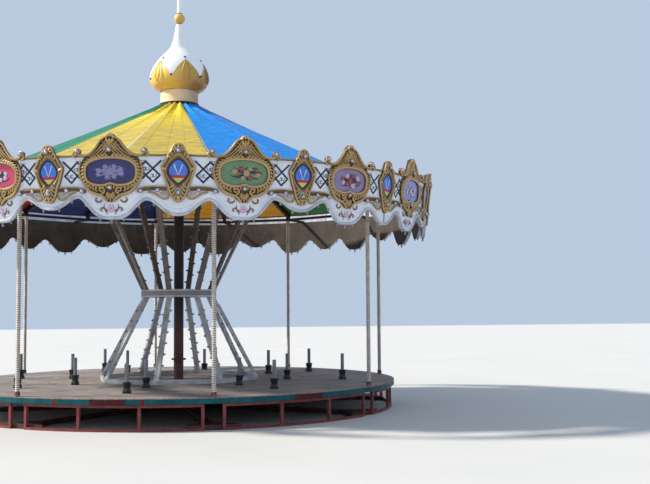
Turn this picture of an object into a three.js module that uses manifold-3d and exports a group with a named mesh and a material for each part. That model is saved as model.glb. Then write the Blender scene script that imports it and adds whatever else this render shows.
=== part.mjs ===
// Fairground carousel, without its riding figures, as an assembly of separate solids.
// Millimetres, +Z up. The origin is on the ground, on the axis of rotation.
// An azimuth is in degrees round the axis: 0 faces -Y, the front, and 90 faces +X.
import * as THREE from "three";
import { mergeVertices } from "three/addons/utils/BufferGeometryUtils.js";
import Module from "manifold-3d";

const wasm = await Module();
wasm.setup();

// Gap between pieces that touch
const SEAT = 0.3;
// How far fused pieces reach into each other
const BITE = 1;
// Larger than the whole carousel, for cutting it
const BEYOND = 7000;

// Layout round the axis
const BAYS = 8;
const BAY_ANGLE = 360 / BAYS;
const POLE_TURN = 7.5;
const BAY_TURN = POLE_TURN - BAY_ANGLE / 2;
const BOARD_TURN = -0.4;

// Base on the ground
const FRAME_REACH = 3180;
const FRAME_HALF_ANGLE = 20.5;
const FRAME_HEIGHT = 315;
const FRAME_DEPTH = 40;
const FRAME_RAIL = 32;
const FRAME_POST = 36;
const FRAME_POSTS = 4;
const FRAME_STEPS = 9;
const BEAM_HEIGHT = 60;
const BEAM_WIDTH = 80;
const GUSSET_ROOT = 2800;
const HUB_PLATE_RADIUS = 420;
const BEAM_HALVES = 2;

// Mast
const MAST_RADIUS = 73;
const MAST_TOP = 4450;
const MAST_FLANGE_Z = 694;
const MAST_FLANGE_RADIUS = 110;
const MAST_FLANGE_HEIGHT = 24;
const MAST_FOOT_RADIUS = 170;
const MAST_FOOT_HEIGHT = 20;
const MAST_SIDES = 20;

// Turning deck
const DECK_TOP = 395;
const DECK_THICKNESS = 24;
const DECK_HOLE_RADIUS = 130;
const DECK_QUARTERS = 4;
const RIM_RADIUS = 3240;
const RIM_HEIGHT = 73;
const RIM_THICKNESS = 8;
const RIM_FLANGE = 60;
const RIM_STEPS = 16;
const JOIST_WIDTH = 60;
const JOIST_RING_RADIUS = 220;

// Sockets for the riding figures, two in each bay
const SOCKET_RADII = [1655, 2480];
const SOCKET_PROFILE = [
  [58, -BITE],
  [58, 26],
  [44, 66],
  [56, 140],
];
const SOCKET_TUBE_RADIUS = 25;
const SOCKET_TUBE_TOP = 380;
const SOCKET_SIDES = 8;

// Poles round the rim
const POLE_CIRCLE = 3200;
const POLE_RADIUS = 27;
const POLE_FOOT_RADIUS = 36;
const POLE_FOOT_HEIGHT = 12;
const POLE_SIDES = 12;

// Hourglass frame round the mast
const STRUT_WIDTH = 76;
const STRUT_DEPTH = 40;
const STRUT_FOOT_RADIUS = 1200;
const STRUT_WAIST_RADIUS = 530;
const STRUT_HEAD_RADIUS = 1560;
const KERB_HEIGHT = 60;
const KERB_WIDTH = 40;
const WAIST_BOTTOM = 1625;
const WAIST_HEIGHT = 112;
const WAIST_HALF_WIDTH = 30;
const WAIST_SIDES = 32;
const STRUT_ROOT = 40;
const STRUT_SPARE = 60;
const HEAD_CUTTER_LENGTH = 800;
const HEAD_CUTTER_DEPTH = 200;

// Canopy: a pyramid of flat facets, steeper beside the collar
const CANOPY_RIBS = 16;
const CANOPY_HEM_RADIUS = 3300;
const CANOPY_HEM_Z = 3136;
const CANOPY_SLOPE = 0.464;
const CANOPY_BEND_RADIUS = 500;
const CANOPY_TOP_RADIUS = 286;
const CANOPY_TOP_Z = 4550;
const CANOPY_THICKNESS = 6;

// Roof frame under the canopy
const ROOF_HUB_RADIUS = 200;
const ROOF_HUB_BORE = 85;
const ROOF_HUB_BOTTOM = 4390;
const ROOF_HUB_TOP = 4530;
const RAFTER_WIDTH = 50;
const RAFTER_DEPTH = 80;
const RAFTER_DROP = 9;
const RAFTER_END = 3250;
const RAFTER_SPARE = 60;
const RING_CIRCLE = POLE_CIRCLE;
const RING_BOTTOM = 3020;
const RING_HEIGHT = 40;
const RING_WIDTH = 50;
const ROOF_SLICE_STEPS = 12;
const OUTRIGGER_WIDTH = 40;

// Crest boards with their scalloped valance
const BOARD_FOOT_Z = 2476;
const BOARD_FOOT_RADIUS = 3700;
const BOARD_LEAN = 0.115;
const BOARD_THICKNESS = 30;
const BOARD_COLUMNS = 24;
const BOARD_TOP_Z = 3205;
const HALF_PITCH = 11.25;
const LARGE_LOBE_Z = 2476;
const JOINT_LOBE_Z = 2512;
const MIDDLE_LOBE_Z = 2593;
const JOINT_ARCH_Z = 2690;
const MIDDLE_ARCH_Z = 2722;
const ARCH_ANGLE = 5.3;
const LARGE_LOBE_FULLNESS = 1.6;
const SMALL_LOBE_FULLNESS = 1.2;
const CREST_TOP_Z = 3440;
const CREST_HALF_ANGLE = 5.2;
const SMALL_CREST_TOP_Z = 3300;
const SMALL_CREST_HALF_ANGLE = 2.7;

// Medallions standing proud of the boards
const MEDALLION_Z = 3020;
const MEDALLION_ROOT = 20;
const WIDE_MEDALLION = { halfWidth: 330, halfHeight: 250, proud: 45, sides: 12 };
const NARROW_MEDALLION = { halfWidth: 170, halfHeight: 290, proud: 40, sides: 8 };

// Finial: collar, then an onion bulb that ends in a ball and a spire
const COLLAR_RIM_RADIUS = 300;
const COLLAR_RIM_TOP = 4596;
const COLLAR_RADIUS = 288;
const COLLAR_TOP = 4764;
const COLLAR_NECK_RADIUS = 150;
const FINIAL_SIDES = 20;
const BULB_PROFILE = [
  [292, 0],
  [350, 28],
  [410, 88],
  [443, 190],
  [437, 262],
  [393, 374],
  [313, 488],
  [198, 603],
  [136, 668],
  [100, 760],
  [65, 950],
  [52, 1050],
  [80, 1094],
  [84, 1150],
  [40, 1226],
  [36, 1410],
  [25, 1700],
  [8, 2026],
];
const SPIRE_TIP_Z = 6794;

const COLOURS = {
  redOxide: { color: 0x4a1f1b, roughness: 0.8, metalness: 0.3 },
  mastSteel: { color: 0x3c1a17, roughness: 0.7, metalness: 0.4 },
  deckPly: { color: 0x8d7a78, roughness: 0.85, metalness: 0 },
  rimPaint: { color: 0x14655f, roughness: 0.6, metalness: 0.2 },
  poleBrass: { color: 0xb7a184, roughness: 0.35, metalness: 0.8 },
  strutPaint: { color: 0xc9ccd2, roughness: 0.5, metalness: 0.2 },
  boardShell: { color: 0xd5dcea, roughness: 0.45, metalness: 0 },
  canopyCloth: { color: 0xe3c21f, roughness: 0.7, metalness: 0 },
  collarPaint: { color: 0xe9d9a4, roughness: 0.4, metalness: 0.2 },
  bulbPaint: { color: 0xd9a030, roughness: 0.35, metalness: 0.3 },
};

const carousel = new THREE.Group();
const radians = THREE.MathUtils.degToRad;

// A solid, and back

function solidOf(geometry) {
  const bare = geometry.clone();
  bare.deleteAttribute("normal");
  bare.deleteAttribute("uv");
  const merged = mergeVertices(bare, 1e-3);
  const mesh = new wasm.Mesh({
    numProp: 3,
    vertProperties: merged.attributes.position.array,
    triVerts: new Uint32Array(merged.index.array),
  });
  return new wasm.Manifold(mesh);
}

function geometryOf(solid) {
  const mesh = solid.getMesh();
  const geometry = new THREE.BufferGeometry();
  geometry.setAttribute("position", new THREE.BufferAttribute(mesh.vertProperties, mesh.numProp));
  geometry.setIndex(new THREE.BufferAttribute(mesh.triVerts, 1));
  geometry.computeVertexNormals();
  return geometry;
}

function join(geometries) {
  const solids = geometries.map(solidOf);
  return solids.reduce((whole, part) => whole.add(part));
}

// Basic shapes

function pointAt(radius, azimuth, z) {
  const angle = radians(azimuth);
  return new THREE.Vector3(radius * Math.sin(angle), -radius * Math.cos(angle), z);
}

function turned(geometry, azimuth) {
  return geometry.clone().rotateZ(radians(azimuth));
}

// A box between two points, with its width level and its depth square to both
function bar(from, to, width, depth) {
  const along = to.clone().sub(from);
  const level = new THREE.Vector3(-along.y, along.x, 0);
  if (level.lengthSq() < 1e-6) level.set(1, 0, 0);
  level.normalize();
  const upright = along.clone().normalize().cross(level);
  const placement = new THREE.Matrix4().makeBasis(
    along.clone().normalize(),
    level,
    upright,
  );
  const middle = from.clone().add(to).multiplyScalar(0.5);
  const box = new THREE.BoxGeometry(along.length(), width, depth);
  return box.applyMatrix4(placement).translate(middle.x, middle.y, middle.z);
}

function block(width, depth, height, x, y, bottom) {
  return new THREE.BoxGeometry(width, depth, height).translate(x, y, bottom + height / 2);
}

// A body of revolution about Z from a profile of [radius, height] points that rises from the axis
function lathe(profile, sides, turn = 0) {
  const points = profile.map(([radius, height]) => new THREE.Vector2(radius, height));
  return new THREE.LatheGeometry(points, sides).rotateX(Math.PI / 2).rotateZ(radians(turn));
}

function disc(radius, bottom, top, sides) {
  return lathe([[0, bottom], [radius, bottom], [radius, top], [0, top]], sides);
}

function ring(inner, outer, bottom, top, sides, turn = 0) {
  const profile = [
    [inner, bottom],
    [outer, bottom],
    [outer, top],
    [inner, top],
    [inner, bottom],
  ];
  return lathe(profile, sides, turn);
}

// An upright prism over a sector of a ring, between two azimuths
function sector(inner, outer, from, to, bottom, top, steps) {
  const shape = new THREE.Shape();
  for (let step = 0; step <= steps; step += 1) {
    const point = pointAt(outer, from + ((to - from) * step) / steps, 0);
    if (step === 0) shape.moveTo(point.x, point.y);
    else shape.lineTo(point.x, point.y);
  }
  for (let step = steps; step >= 0; step -= 1) {
    const point = pointAt(inner, from + ((to - from) * step) / steps, 0);
    shape.lineTo(point.x, point.y);
  }
  const prism = new THREE.ExtrudeGeometry(shape, { depth: top - bottom, bevelEnabled: false });
  return prism.translate(0, 0, bottom);
}

// Half the azimuth that leaves a seat gap beside a radial joint at this radius
function seatAngle(radius) {
  return THREE.MathUtils.radToDeg(SEAT / 2 / radius);
}

function addPart(name, geometry, look) {
  const mesh = new THREE.Mesh(geometry, new THREE.MeshStandardMaterial(COLOURS[look]));
  mesh.name = name;
  carousel.add(mesh);
}

// Base: beams on the ground that hold the mast and reach the frames under the rim

// A plate that joins a beam to the ends of the two frames beside it
function gusset(azimuth) {
  const gap = BAY_ANGLE / 2 - FRAME_HALF_ANGLE;
  const facet = (2 * FRAME_HALF_ANGLE) / FRAME_STEPS;
  const reach = FRAME_REACH - FRAME_DEPTH / 2 - SEAT / Math.cos(radians(facet / 2));
  const shape = new THREE.Shape();
  shape.moveTo(-BEAM_WIDTH / 2, -GUSSET_ROOT);
  for (const turn of [-gap - facet, -gap, gap, gap + facet]) {
    const corner = pointAt(reach, turn, 0);
    shape.lineTo(corner.x, corner.y);
  }
  shape.lineTo(BEAM_WIDTH / 2, -GUSSET_ROOT);
  shape.closePath();
  const plate = new THREE.ExtrudeGeometry(shape, { depth: BEAM_HEIGHT, bevelEnabled: false });
  return turned(plate, azimuth);
}

// Four beams and their half of the plate under the mast
function makeBaseBeams(half) {
  const pieces = [disc(HUB_PLATE_RADIUS, 0, BEAM_HEIGHT, MAST_SIDES)];
  for (let bay = 0; bay < BAYS; bay += 1) {
    const azimuth = POLE_TURN + bay * BAY_ANGLE;
    const beam = block(BEAM_WIDTH, GUSSET_ROOT, BEAM_HEIGHT, 0, -GUSSET_ROOT / 2 - BITE, 0);
    pieces.push(turned(beam, azimuth), gusset(azimuth));
  }
  const side = block(BEYOND, BEYOND / 2, BEAM_HEIGHT, 0, -BEYOND / 4 - SEAT / 2, 0);
  const turn = BAY_TURN + (half * 360) / BEAM_HALVES;
  return geometryOf(join(pieces).intersect(solidOf(turned(side, turn))));
}

// Two bent rails and the posts between them
function makeBaseFrame(azimuth) {
  const inner = FRAME_REACH - FRAME_DEPTH / 2;
  const outer = FRAME_REACH + FRAME_DEPTH / 2;
  const rail = sector(inner, outer, -FRAME_HALF_ANGLE, FRAME_HALF_ANGLE, 0, FRAME_RAIL, FRAME_STEPS);
  const upperRail = rail.clone().translate(0, 0, FRAME_HEIGHT - FRAME_RAIL);
  const pieces = [rail, upperRail];
  const end = FRAME_HALF_ANGLE - THREE.MathUtils.radToDeg(FRAME_POST / 2 / inner);
  const height = FRAME_HEIGHT - 2 * BITE;
  for (let post = 0; post < FRAME_POSTS; post += 1) {
    const turn = end * ((2 * post) / (FRAME_POSTS - 1) - 1);
    const upright = block(FRAME_POST, FRAME_DEPTH - 4 * BITE, height, 0, -FRAME_REACH, BITE);
    pieces.push(turned(upright, turn));
  }
  return turned(geometryOf(join(pieces)), azimuth);
}

function makeMast() {
  const foot = BEAM_HEIGHT + SEAT;
  const profile = [
    [0, foot],
    [MAST_FOOT_RADIUS, foot],
    [MAST_FOOT_RADIUS, foot + MAST_FOOT_HEIGHT],
    [MAST_RADIUS, foot + MAST_FOOT_HEIGHT],
    [MAST_RADIUS, MAST_FLANGE_Z - MAST_FLANGE_HEIGHT / 2],
    [MAST_FLANGE_RADIUS, MAST_FLANGE_Z - MAST_FLANGE_HEIGHT / 2],
    [MAST_FLANGE_RADIUS, MAST_FLANGE_Z + MAST_FLANGE_HEIGHT / 2],
    [MAST_RADIUS, MAST_FLANGE_Z + MAST_FLANGE_HEIGHT / 2],
    [MAST_RADIUS, MAST_TOP],
    [0, MAST_TOP],
  ];
  return lathe(profile, MAST_SIDES);
}

// Deck

function makeSocket(radius, azimuth) {
  const [, base] = SOCKET_PROFILE[0];
  const [, shoulder] = SOCKET_PROFILE[SOCKET_PROFILE.length - 1];
  const profile = [
    [0, base],
    ...SOCKET_PROFILE,
    [SOCKET_TUBE_RADIUS, shoulder],
    [SOCKET_TUBE_RADIUS, SOCKET_TUBE_TOP],
    [0, SOCKET_TUBE_TOP],
  ];
  const place = pointAt(radius, azimuth, DECK_TOP);
  return lathe(profile, SOCKET_SIDES).translate(place.x, place.y, place.z);
}

function makeDeckQuarter(quarter) {
  const span = 360 / DECK_QUARTERS;
  const from = POLE_TURN + quarter * span;
  const gap = seatAngle(RIM_RADIUS / 2);
  const outer = RIM_RADIUS - RIM_THICKNESS - SEAT;
  const bottom = DECK_TOP - DECK_THICKNESS;
  const pieces = [
    sector(DECK_HOLE_RADIUS, outer, from + gap, from + span - gap, bottom, DECK_TOP, RIM_STEPS),
  ];
  for (let bay = 0; bay < BAYS / DECK_QUARTERS; bay += 1) {
    for (const radius of SOCKET_RADII) {
      pieces.push(makeSocket(radius, from + (bay + 0.5) * BAY_ANGLE));
    }
  }
  return geometryOf(join(pieces));
}

function makeRimQuarter(quarter) {
  const span = 360 / DECK_QUARTERS;
  const from = POLE_TURN + quarter * span + seatAngle(RIM_RADIUS);
  const to = POLE_TURN + (quarter + 1) * span - seatAngle(RIM_RADIUS);
  const shelfTop = DECK_TOP - DECK_THICKNESS - SEAT;
  const inner = RIM_RADIUS - RIM_THICKNESS;
  const shelfInner = RIM_RADIUS - RIM_FLANGE;
  const band = sector(inner, RIM_RADIUS, from, to, DECK_TOP - RIM_HEIGHT, DECK_TOP, RIM_STEPS);
  const shelfBottom = shelfTop - RIM_THICKNESS;
  const shelf = sector(shelfInner, inner + BITE, from, to, shelfBottom, shelfTop, RIM_STEPS);
  return geometryOf(join([band, shelf]));
}

function makeDeckJoists() {
  const bottom = DECK_TOP - RIM_HEIGHT;
  const top = DECK_TOP - DECK_THICKNESS - SEAT;
  const facetHalfAngle = radians(360 / DECK_QUARTERS / RIM_STEPS / 2);
  const reach = (RIM_RADIUS - RIM_FLANGE) * Math.cos(facetHalfAngle) - SEAT;
  const pieces = [ring(DECK_HOLE_RADIUS, JOIST_RING_RADIUS, bottom, top, MAST_SIDES)];
  for (let bay = 0; bay < BAYS; bay += 1) {
    const length = reach - (DECK_HOLE_RADIUS + JOIST_RING_RADIUS) / 2;
    const beam = block(JOIST_WIDTH, length, top - bottom, 0, length / 2 - reach, bottom);
    pieces.push(turned(beam, POLE_TURN + bay * BAY_ANGLE));
  }
  return geometryOf(join(pieces));
}

// Poles and the hourglass frame

function makePole(azimuth) {
  const foot = DECK_TOP + SEAT;
  const profile = [
    [0, foot],
    [POLE_FOOT_RADIUS, foot],
    [POLE_FOOT_RADIUS, foot + POLE_FOOT_HEIGHT],
    [POLE_RADIUS, foot + POLE_FOOT_HEIGHT],
    [POLE_RADIUS, RING_BOTTOM - SEAT],
    [0, RING_BOTTOM - SEAT],
  ];
  const place = pointAt(POLE_CIRCLE, azimuth, 0);
  return lathe(profile, POLE_SIDES).translate(place.x, place.y, 0);
}

// Cuts a solid to the layer between two heights
function layer(solid, bottom, top) {
  return solid.intersect(solidOf(block(BEYOND, BEYOND, top - bottom, 0, 0, bottom)));
}

function makeLowerStruts() {
  const foot = DECK_TOP + SEAT;
  const kerbInner = STRUT_FOOT_RADIUS - KERB_WIDTH / 2;
  const kerbOuter = STRUT_FOOT_RADIUS + KERB_WIDTH / 2;
  const pieces = [ring(kerbInner, kerbOuter, foot, foot + KERB_HEIGHT, BAYS, BAY_TURN)];
  const strut = bar(
    new THREE.Vector3(0, -STRUT_FOOT_RADIUS, foot),
    new THREE.Vector3(0, -STRUT_WAIST_RADIUS, WAIST_BOTTOM),
    STRUT_WIDTH,
    STRUT_DEPTH,
  );
  for (let bay = 0; bay < BAYS; bay += 1) pieces.push(turned(strut, BAY_TURN + bay * BAY_ANGLE));
  return geometryOf(layer(join(pieces), foot, WAIST_BOTTOM - SEAT));
}

function canopyHeight(radius) {
  return CANOPY_HEM_Z + CANOPY_SLOPE * (CANOPY_HEM_RADIUS - radius);
}

function rafterBottom(radius) {
  const fall = RAFTER_DEPTH * Math.hypot(1, CANOPY_SLOPE);
  return canopyHeight(radius) - CANOPY_THICKNESS - RAFTER_DROP - fall;
}

function makeUpperStruts() {
  const waistTop = WAIST_BOTTOM + WAIST_HEIGHT;
  const inner = STRUT_WAIST_RADIUS - WAIST_HALF_WIDTH;
  const outer = STRUT_WAIST_RADIUS + WAIST_HALF_WIDTH;
  const headZ = rafterBottom(STRUT_HEAD_RADIUS);
  const from = new THREE.Vector3(0, -STRUT_WAIST_RADIUS, waistTop - STRUT_ROOT);
  const to = new THREE.Vector3(0, -STRUT_HEAD_RADIUS, headZ);
  const beyond = to.clone().sub(from).setLength(STRUT_SPARE).add(to);
  const strut = solidOf(bar(from, beyond, STRUT_WIDTH, STRUT_DEPTH));
  // The strut's head is cut along the underside of its rafter
  const near = STRUT_HEAD_RADIUS - HEAD_CUTTER_LENGTH / 2;
  const far = STRUT_HEAD_RADIUS + HEAD_CUTTER_LENGTH / 2;
  const lift = (HEAD_CUTTER_DEPTH / 2) * Math.hypot(1, CANOPY_SLOPE) - SEAT;
  const cutter = bar(
    new THREE.Vector3(0, -near, rafterBottom(near) + lift),
    new THREE.Vector3(0, -far, rafterBottom(far) + lift),
    2 * STRUT_WIDTH,
    HEAD_CUTTER_DEPTH,
  );
  const cut = geometryOf(strut.subtract(solidOf(cutter)));
  const pieces = [ring(inner, outer, WAIST_BOTTOM, waistTop, WAIST_SIDES, BAY_TURN)];
  for (let bay = 0; bay < BAYS; bay += 1) pieces.push(turned(cut, BAY_TURN + bay * BAY_ANGLE));
  return geometryOf(join(pieces));
}

// Roof

function makeRoofHub() {
  const profile = [
    [0, MAST_TOP + SEAT],
    [ROOF_HUB_BORE, MAST_TOP + SEAT],
    [ROOF_HUB_BORE, ROOF_HUB_BOTTOM],
    [ROOF_HUB_RADIUS, ROOF_HUB_BOTTOM],
    [ROOF_HUB_RADIUS, ROOF_HUB_TOP],
    [0, ROOF_HUB_TOP],
  ];
  return lathe(profile, MAST_SIDES);
}

function makeRafter() {
  const middle = RAFTER_DEPTH / 2;
  const fall = middle * Math.hypot(1, CANOPY_SLOPE) + CANOPY_THICKNESS + RAFTER_DROP;
  const start = ROOF_HUB_RADIUS - RAFTER_SPARE;
  return bar(
    new THREE.Vector3(0, -start, canopyHeight(start) - fall),
    new THREE.Vector3(0, -RAFTER_END, canopyHeight(RAFTER_END) - fall),
    RAFTER_WIDTH,
    RAFTER_DEPTH,
  );
}

function boardRadius(z) {
  return BOARD_FOOT_RADIUS + BOARD_LEAN * (z - BOARD_FOOT_Z);
}

function makeOutrigger() {
  const end = boardRadius(RING_BOTTOM) - BOARD_THICKNESS - 2 * SEAT;
  const length = end - RING_CIRCLE;
  return block(OUTRIGGER_WIDTH, length, RING_HEIGHT, 0, length / 2 - end, RING_BOTTOM);
}

// The short post that holds the roof ring under a rafter
function makeHanger() {
  const height = rafterBottom(RING_CIRCLE) + RAFTER_DEPTH / 2 - RING_BOTTOM;
  return block(RAFTER_WIDTH - 2 * BITE, RING_WIDTH - 2 * BITE, height, 0, -RING_CIRCLE, RING_BOTTOM);
}

// The side of the roof ring that is centred on the front
function makeRingChord() {
  const halfSide = radians(BAY_ANGLE / 4);
  const apothem = RING_CIRCLE * Math.cos(halfSide);
  const side = 2 * RING_CIRCLE * Math.sin(halfSide) + RING_WIDTH;
  return block(side, RING_WIDTH, RING_HEIGHT, 0, -apothem, RING_BOTTOM);
}

// One bay of the roof: two rafters, two outriggers and the ring as far as the middles of the outer chords
function makeRoofBay(azimuth) {
  const half = BAY_ANGLE / 2;
  const pieces = [];
  for (const turn of [0, half]) {
    pieces.push(turned(makeRafter(), turn), turned(makeOutrigger(), turn), turned(makeHanger(), turn));
  }
  for (const turn of [-half / 2, half / 2, (3 * half) / 2]) pieces.push(turned(makeRingChord(), turn));
  const inner = ROOF_HUB_RADIUS + SEAT;
  const from = seatAngle(RING_CIRCLE) - half / 2;
  const to = BAY_ANGLE - seatAngle(RING_CIRCLE) - half / 2;
  const slice = solidOf(sector(inner, BEYOND, from, to, 0, ROOF_HUB_TOP, ROOF_SLICE_STEPS));
  return turned(geometryOf(join(pieces).intersect(slice)), azimuth);
}

function makeCanopy() {
  const lower = CANOPY_THICKNESS;
  const profile = [
    [CANOPY_TOP_RADIUS, CANOPY_TOP_Z - lower],
    [CANOPY_BEND_RADIUS, canopyHeight(CANOPY_BEND_RADIUS) - lower],
    [CANOPY_HEM_RADIUS, CANOPY_HEM_Z - lower],
    [CANOPY_HEM_RADIUS, CANOPY_HEM_Z],
    [CANOPY_BEND_RADIUS, canopyHeight(CANOPY_BEND_RADIUS)],
    [CANOPY_TOP_RADIUS, CANOPY_TOP_Z],
    [CANOPY_TOP_RADIUS, CANOPY_TOP_Z - lower],
  ];
  return lathe(profile, CANOPY_RIBS, POLE_TURN);
}

// Crest boards

// How far an azimuth lies from the nearest narrow medallion, in degrees
function fromNarrow(azimuth) {
  const pitch = 2 * HALF_PITCH;
  const offset = ((azimuth % pitch) + pitch) % pitch;
  return Math.min(offset, pitch - offset);
}

// Whether the nearest narrow medallion covers the joint of two boards
function nearJoint(azimuth) {
  const offset = ((azimuth % BAY_ANGLE) + BAY_ANGLE) % BAY_ANGLE;
  return Math.min(offset, BAY_ANGLE - offset) < HALF_PITCH;
}

// The lower edge of the boards; the small lobe over a joint hangs lower than the one in a board's middle
function scallopZ(azimuth) {
  const offset = fromNarrow(azimuth);
  const smallLobe = nearJoint(azimuth) ? JOINT_LOBE_Z : MIDDLE_LOBE_Z;
  const arch = nearJoint(azimuth) ? JOINT_ARCH_Z : MIDDLE_ARCH_Z;
  const small = offset < ARCH_ANGLE;
  const reach = small ? ARCH_ANGLE : HALF_PITCH - ARCH_ANGLE;
  const away = small ? offset : HALF_PITCH - offset;
  const lobe = small ? smallLobe : LARGE_LOBE_Z;
  const fullness = small ? SMALL_LOBE_FULLNESS : LARGE_LOBE_FULLNESS;
  const rise = (1 - Math.cos(Math.PI * Math.pow(away / reach, fullness))) / 2;
  return lobe + (arch - lobe) * rise;
}

function crestRise(away, halfAngle, height) {
  if (away >= halfAngle) return 0;
  return (height * (1 + Math.cos((Math.PI * away) / halfAngle))) / 2;
}

function crestZ(azimuth) {
  const offset = fromNarrow(azimuth);
  const large = crestRise(HALF_PITCH - offset, CREST_HALF_ANGLE, CREST_TOP_Z - BOARD_TOP_Z);
  const small = crestRise(offset, SMALL_CREST_HALF_ANGLE, SMALL_CREST_TOP_Z - BOARD_TOP_Z);
  return BOARD_TOP_Z + large + small;
}

// The curved shell of one board, from the first azimuth to the last, measured from a narrow medallion
function boardShell(from, to) {
  const corners = [];
  for (let column = 0; column <= BOARD_COLUMNS; column += 1) {
    const azimuth = from + ((to - from) * column) / BOARD_COLUMNS;
    const bottom = scallopZ(azimuth);
    const top = crestZ(azimuth);
    corners.push([
      pointAt(boardRadius(bottom), azimuth, bottom),
      pointAt(boardRadius(top), azimuth, top),
      pointAt(boardRadius(top) - BOARD_THICKNESS, azimuth, top),
      pointAt(boardRadius(bottom) - BOARD_THICKNESS, azimuth, bottom),
    ]);
  }
  const positions = [];
  const face = (...points) => points.forEach((point) => positions.push(point.x, point.y, point.z));
  const quad = (a, b, c, d) => {
    face(a, b, c);
    face(a, c, d);
  };
  for (let column = 0; column < BOARD_COLUMNS; column += 1) {
    const left = corners[column];
    const right = corners[column + 1];
    for (let side = 0; side < 4; side += 1) {
      const next = (side + 1) % 4;
      quad(left[side], right[side], right[next], left[next]);
    }
  }
  const first = corners[0];
  const last = corners[BOARD_COLUMNS];
  quad(first[3], first[0], first[1], first[2]);
  quad(last[0], last[3], last[2], last[1]);
  const geometry = new THREE.BufferGeometry();
  geometry.setAttribute("position", new THREE.Float32BufferAttribute(positions, 3));
  return geometry;
}

// An oval plate that leans with the board and stands proud of it
function medallion(size, azimuth) {
  const plate = new THREE.CylinderGeometry(1, 1, size.proud + MEDALLION_ROOT, size.sides);
  plate.scale(size.halfWidth, 1, size.halfHeight);
  plate.translate(0, (MEDALLION_ROOT - size.proud) / 2, 0);
  plate.rotateX(Math.atan(BOARD_LEAN));
  plate.translate(0, -boardRadius(MEDALLION_Z), MEDALLION_Z);
  return turned(plate, azimuth);
}

function makeCrestBoard(board) {
  const gap = seatAngle(BOARD_FOOT_RADIUS);
  const pitch = 2 * HALF_PITCH;
  const whole = [HALF_PITCH, HALF_PITCH + pitch].map((turn) => medallion(WIDE_MEDALLION, turn));
  whole.push(medallion(NARROW_MEDALLION, pitch));
  // The narrow medallions over the joints are shared with the neighbouring boards, half each
  const slice = solidOf(sector(RIM_RADIUS, BEYOND, gap, BAY_ANGLE - gap, 0, BEYOND, 1));
  const shared = [0, BAY_ANGLE].map((turn) => medallion(NARROW_MEDALLION, turn));
  const solid = join([boardShell(gap, BAY_ANGLE - gap), ...whole]).add(join(shared).intersect(slice));
  return turned(geometryOf(solid), BOARD_TURN + board * BAY_ANGLE);
}

// Finial

function makeCollar() {
  const rimBottom = CANOPY_TOP_Z + SEAT;
  const profile = [
    [0, ROOF_HUB_TOP + SEAT],
    [COLLAR_NECK_RADIUS, ROOF_HUB_TOP + SEAT],
    [COLLAR_NECK_RADIUS, rimBottom],
    [COLLAR_RIM_RADIUS, rimBottom],
    [COLLAR_RIM_RADIUS, COLLAR_RIM_TOP],
    [COLLAR_RADIUS, COLLAR_RIM_TOP],
    [COLLAR_RADIUS, COLLAR_TOP],
    [0, COLLAR_TOP],
  ];
  return lathe(profile, FINIAL_SIDES);
}

function makeBulb() {
  const bottom = COLLAR_TOP + SEAT;
  const profile = BULB_PROFILE.map(([radius, height]) => [radius, bottom + height]);
  return lathe([[0, bottom], ...profile, [0, SPIRE_TIP_Z]], FINIAL_SIDES);
}

// Assembly

addPart("base_beams_front", makeBaseBeams(0), "redOxide");
addPart("base_beams_back", makeBaseBeams(1), "redOxide");
addPart("centre_mast", makeMast(), "mastSteel");
addPart("deck_joists", makeDeckJoists(), "redOxide");
addPart("lower_struts", makeLowerStruts(), "strutPaint");
addPart("upper_struts", makeUpperStruts(), "strutPaint");
addPart("roof_hub", makeRoofHub(), "mastSteel");
addPart("canopy", makeCanopy(), "canopyCloth");
addPart("finial_collar", makeCollar(), "collarPaint");
addPart("finial_bulb", makeBulb(), "bulbPaint");
for (let quarter = 0; quarter < DECK_QUARTERS; quarter += 1) {
  addPart(`deck_quarter_${quarter + 1}`, makeDeckQuarter(quarter), "deckPly");
  addPart(`rim_quarter_${quarter + 1}`, makeRimQuarter(quarter), "rimPaint");
}
for (let bay = 0; bay < BAYS; bay += 1) {
  const number = bay + 1;
  const poleAzimuth = POLE_TURN + bay * BAY_ANGLE;
  addPart(`base_frame_${number}`, makeBaseFrame(BAY_TURN + bay * BAY_ANGLE), "redOxide");
  addPart(`outer_pole_${number}`, makePole(poleAzimuth), "poleBrass");
  addPart(`roof_bay_${number}`, makeRoofBay(poleAzimuth), "mastSteel");
  addPart(`crest_board_${number}`, makeCrestBoard(bay), "boardShell");
}

export default carousel;
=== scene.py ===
"""Looks of the fairground carousel round its CAD frame.

Metres, +Z up. Azimuths are in degrees round the axis: 0 faces -Y, the front, and 90 faces +X.
Ornament on the boards is laid out in (x, z, proud): x runs to the right along the board, z is the height
above the ground and proud is the distance in front of the board's face.
"""

import math

import bmesh
import bpy
import numpy as np
from mathutils import Matrix, Vector


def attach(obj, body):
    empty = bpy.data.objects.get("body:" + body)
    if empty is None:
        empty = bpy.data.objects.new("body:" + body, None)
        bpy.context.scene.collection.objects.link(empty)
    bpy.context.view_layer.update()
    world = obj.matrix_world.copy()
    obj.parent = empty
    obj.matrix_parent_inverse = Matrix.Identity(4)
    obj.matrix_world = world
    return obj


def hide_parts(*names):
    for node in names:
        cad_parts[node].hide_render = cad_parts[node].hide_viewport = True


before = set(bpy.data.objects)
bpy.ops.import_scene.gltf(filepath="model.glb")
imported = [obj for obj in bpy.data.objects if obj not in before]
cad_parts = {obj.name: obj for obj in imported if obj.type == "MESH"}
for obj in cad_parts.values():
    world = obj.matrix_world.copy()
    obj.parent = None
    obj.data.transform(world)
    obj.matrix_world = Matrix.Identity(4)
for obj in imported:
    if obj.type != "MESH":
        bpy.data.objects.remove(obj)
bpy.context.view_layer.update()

TURN = 2 * math.pi
SQUARE = ((-1, -1), (1, -1), (1, 1), (-1, 1))
SEED = 11

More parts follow.
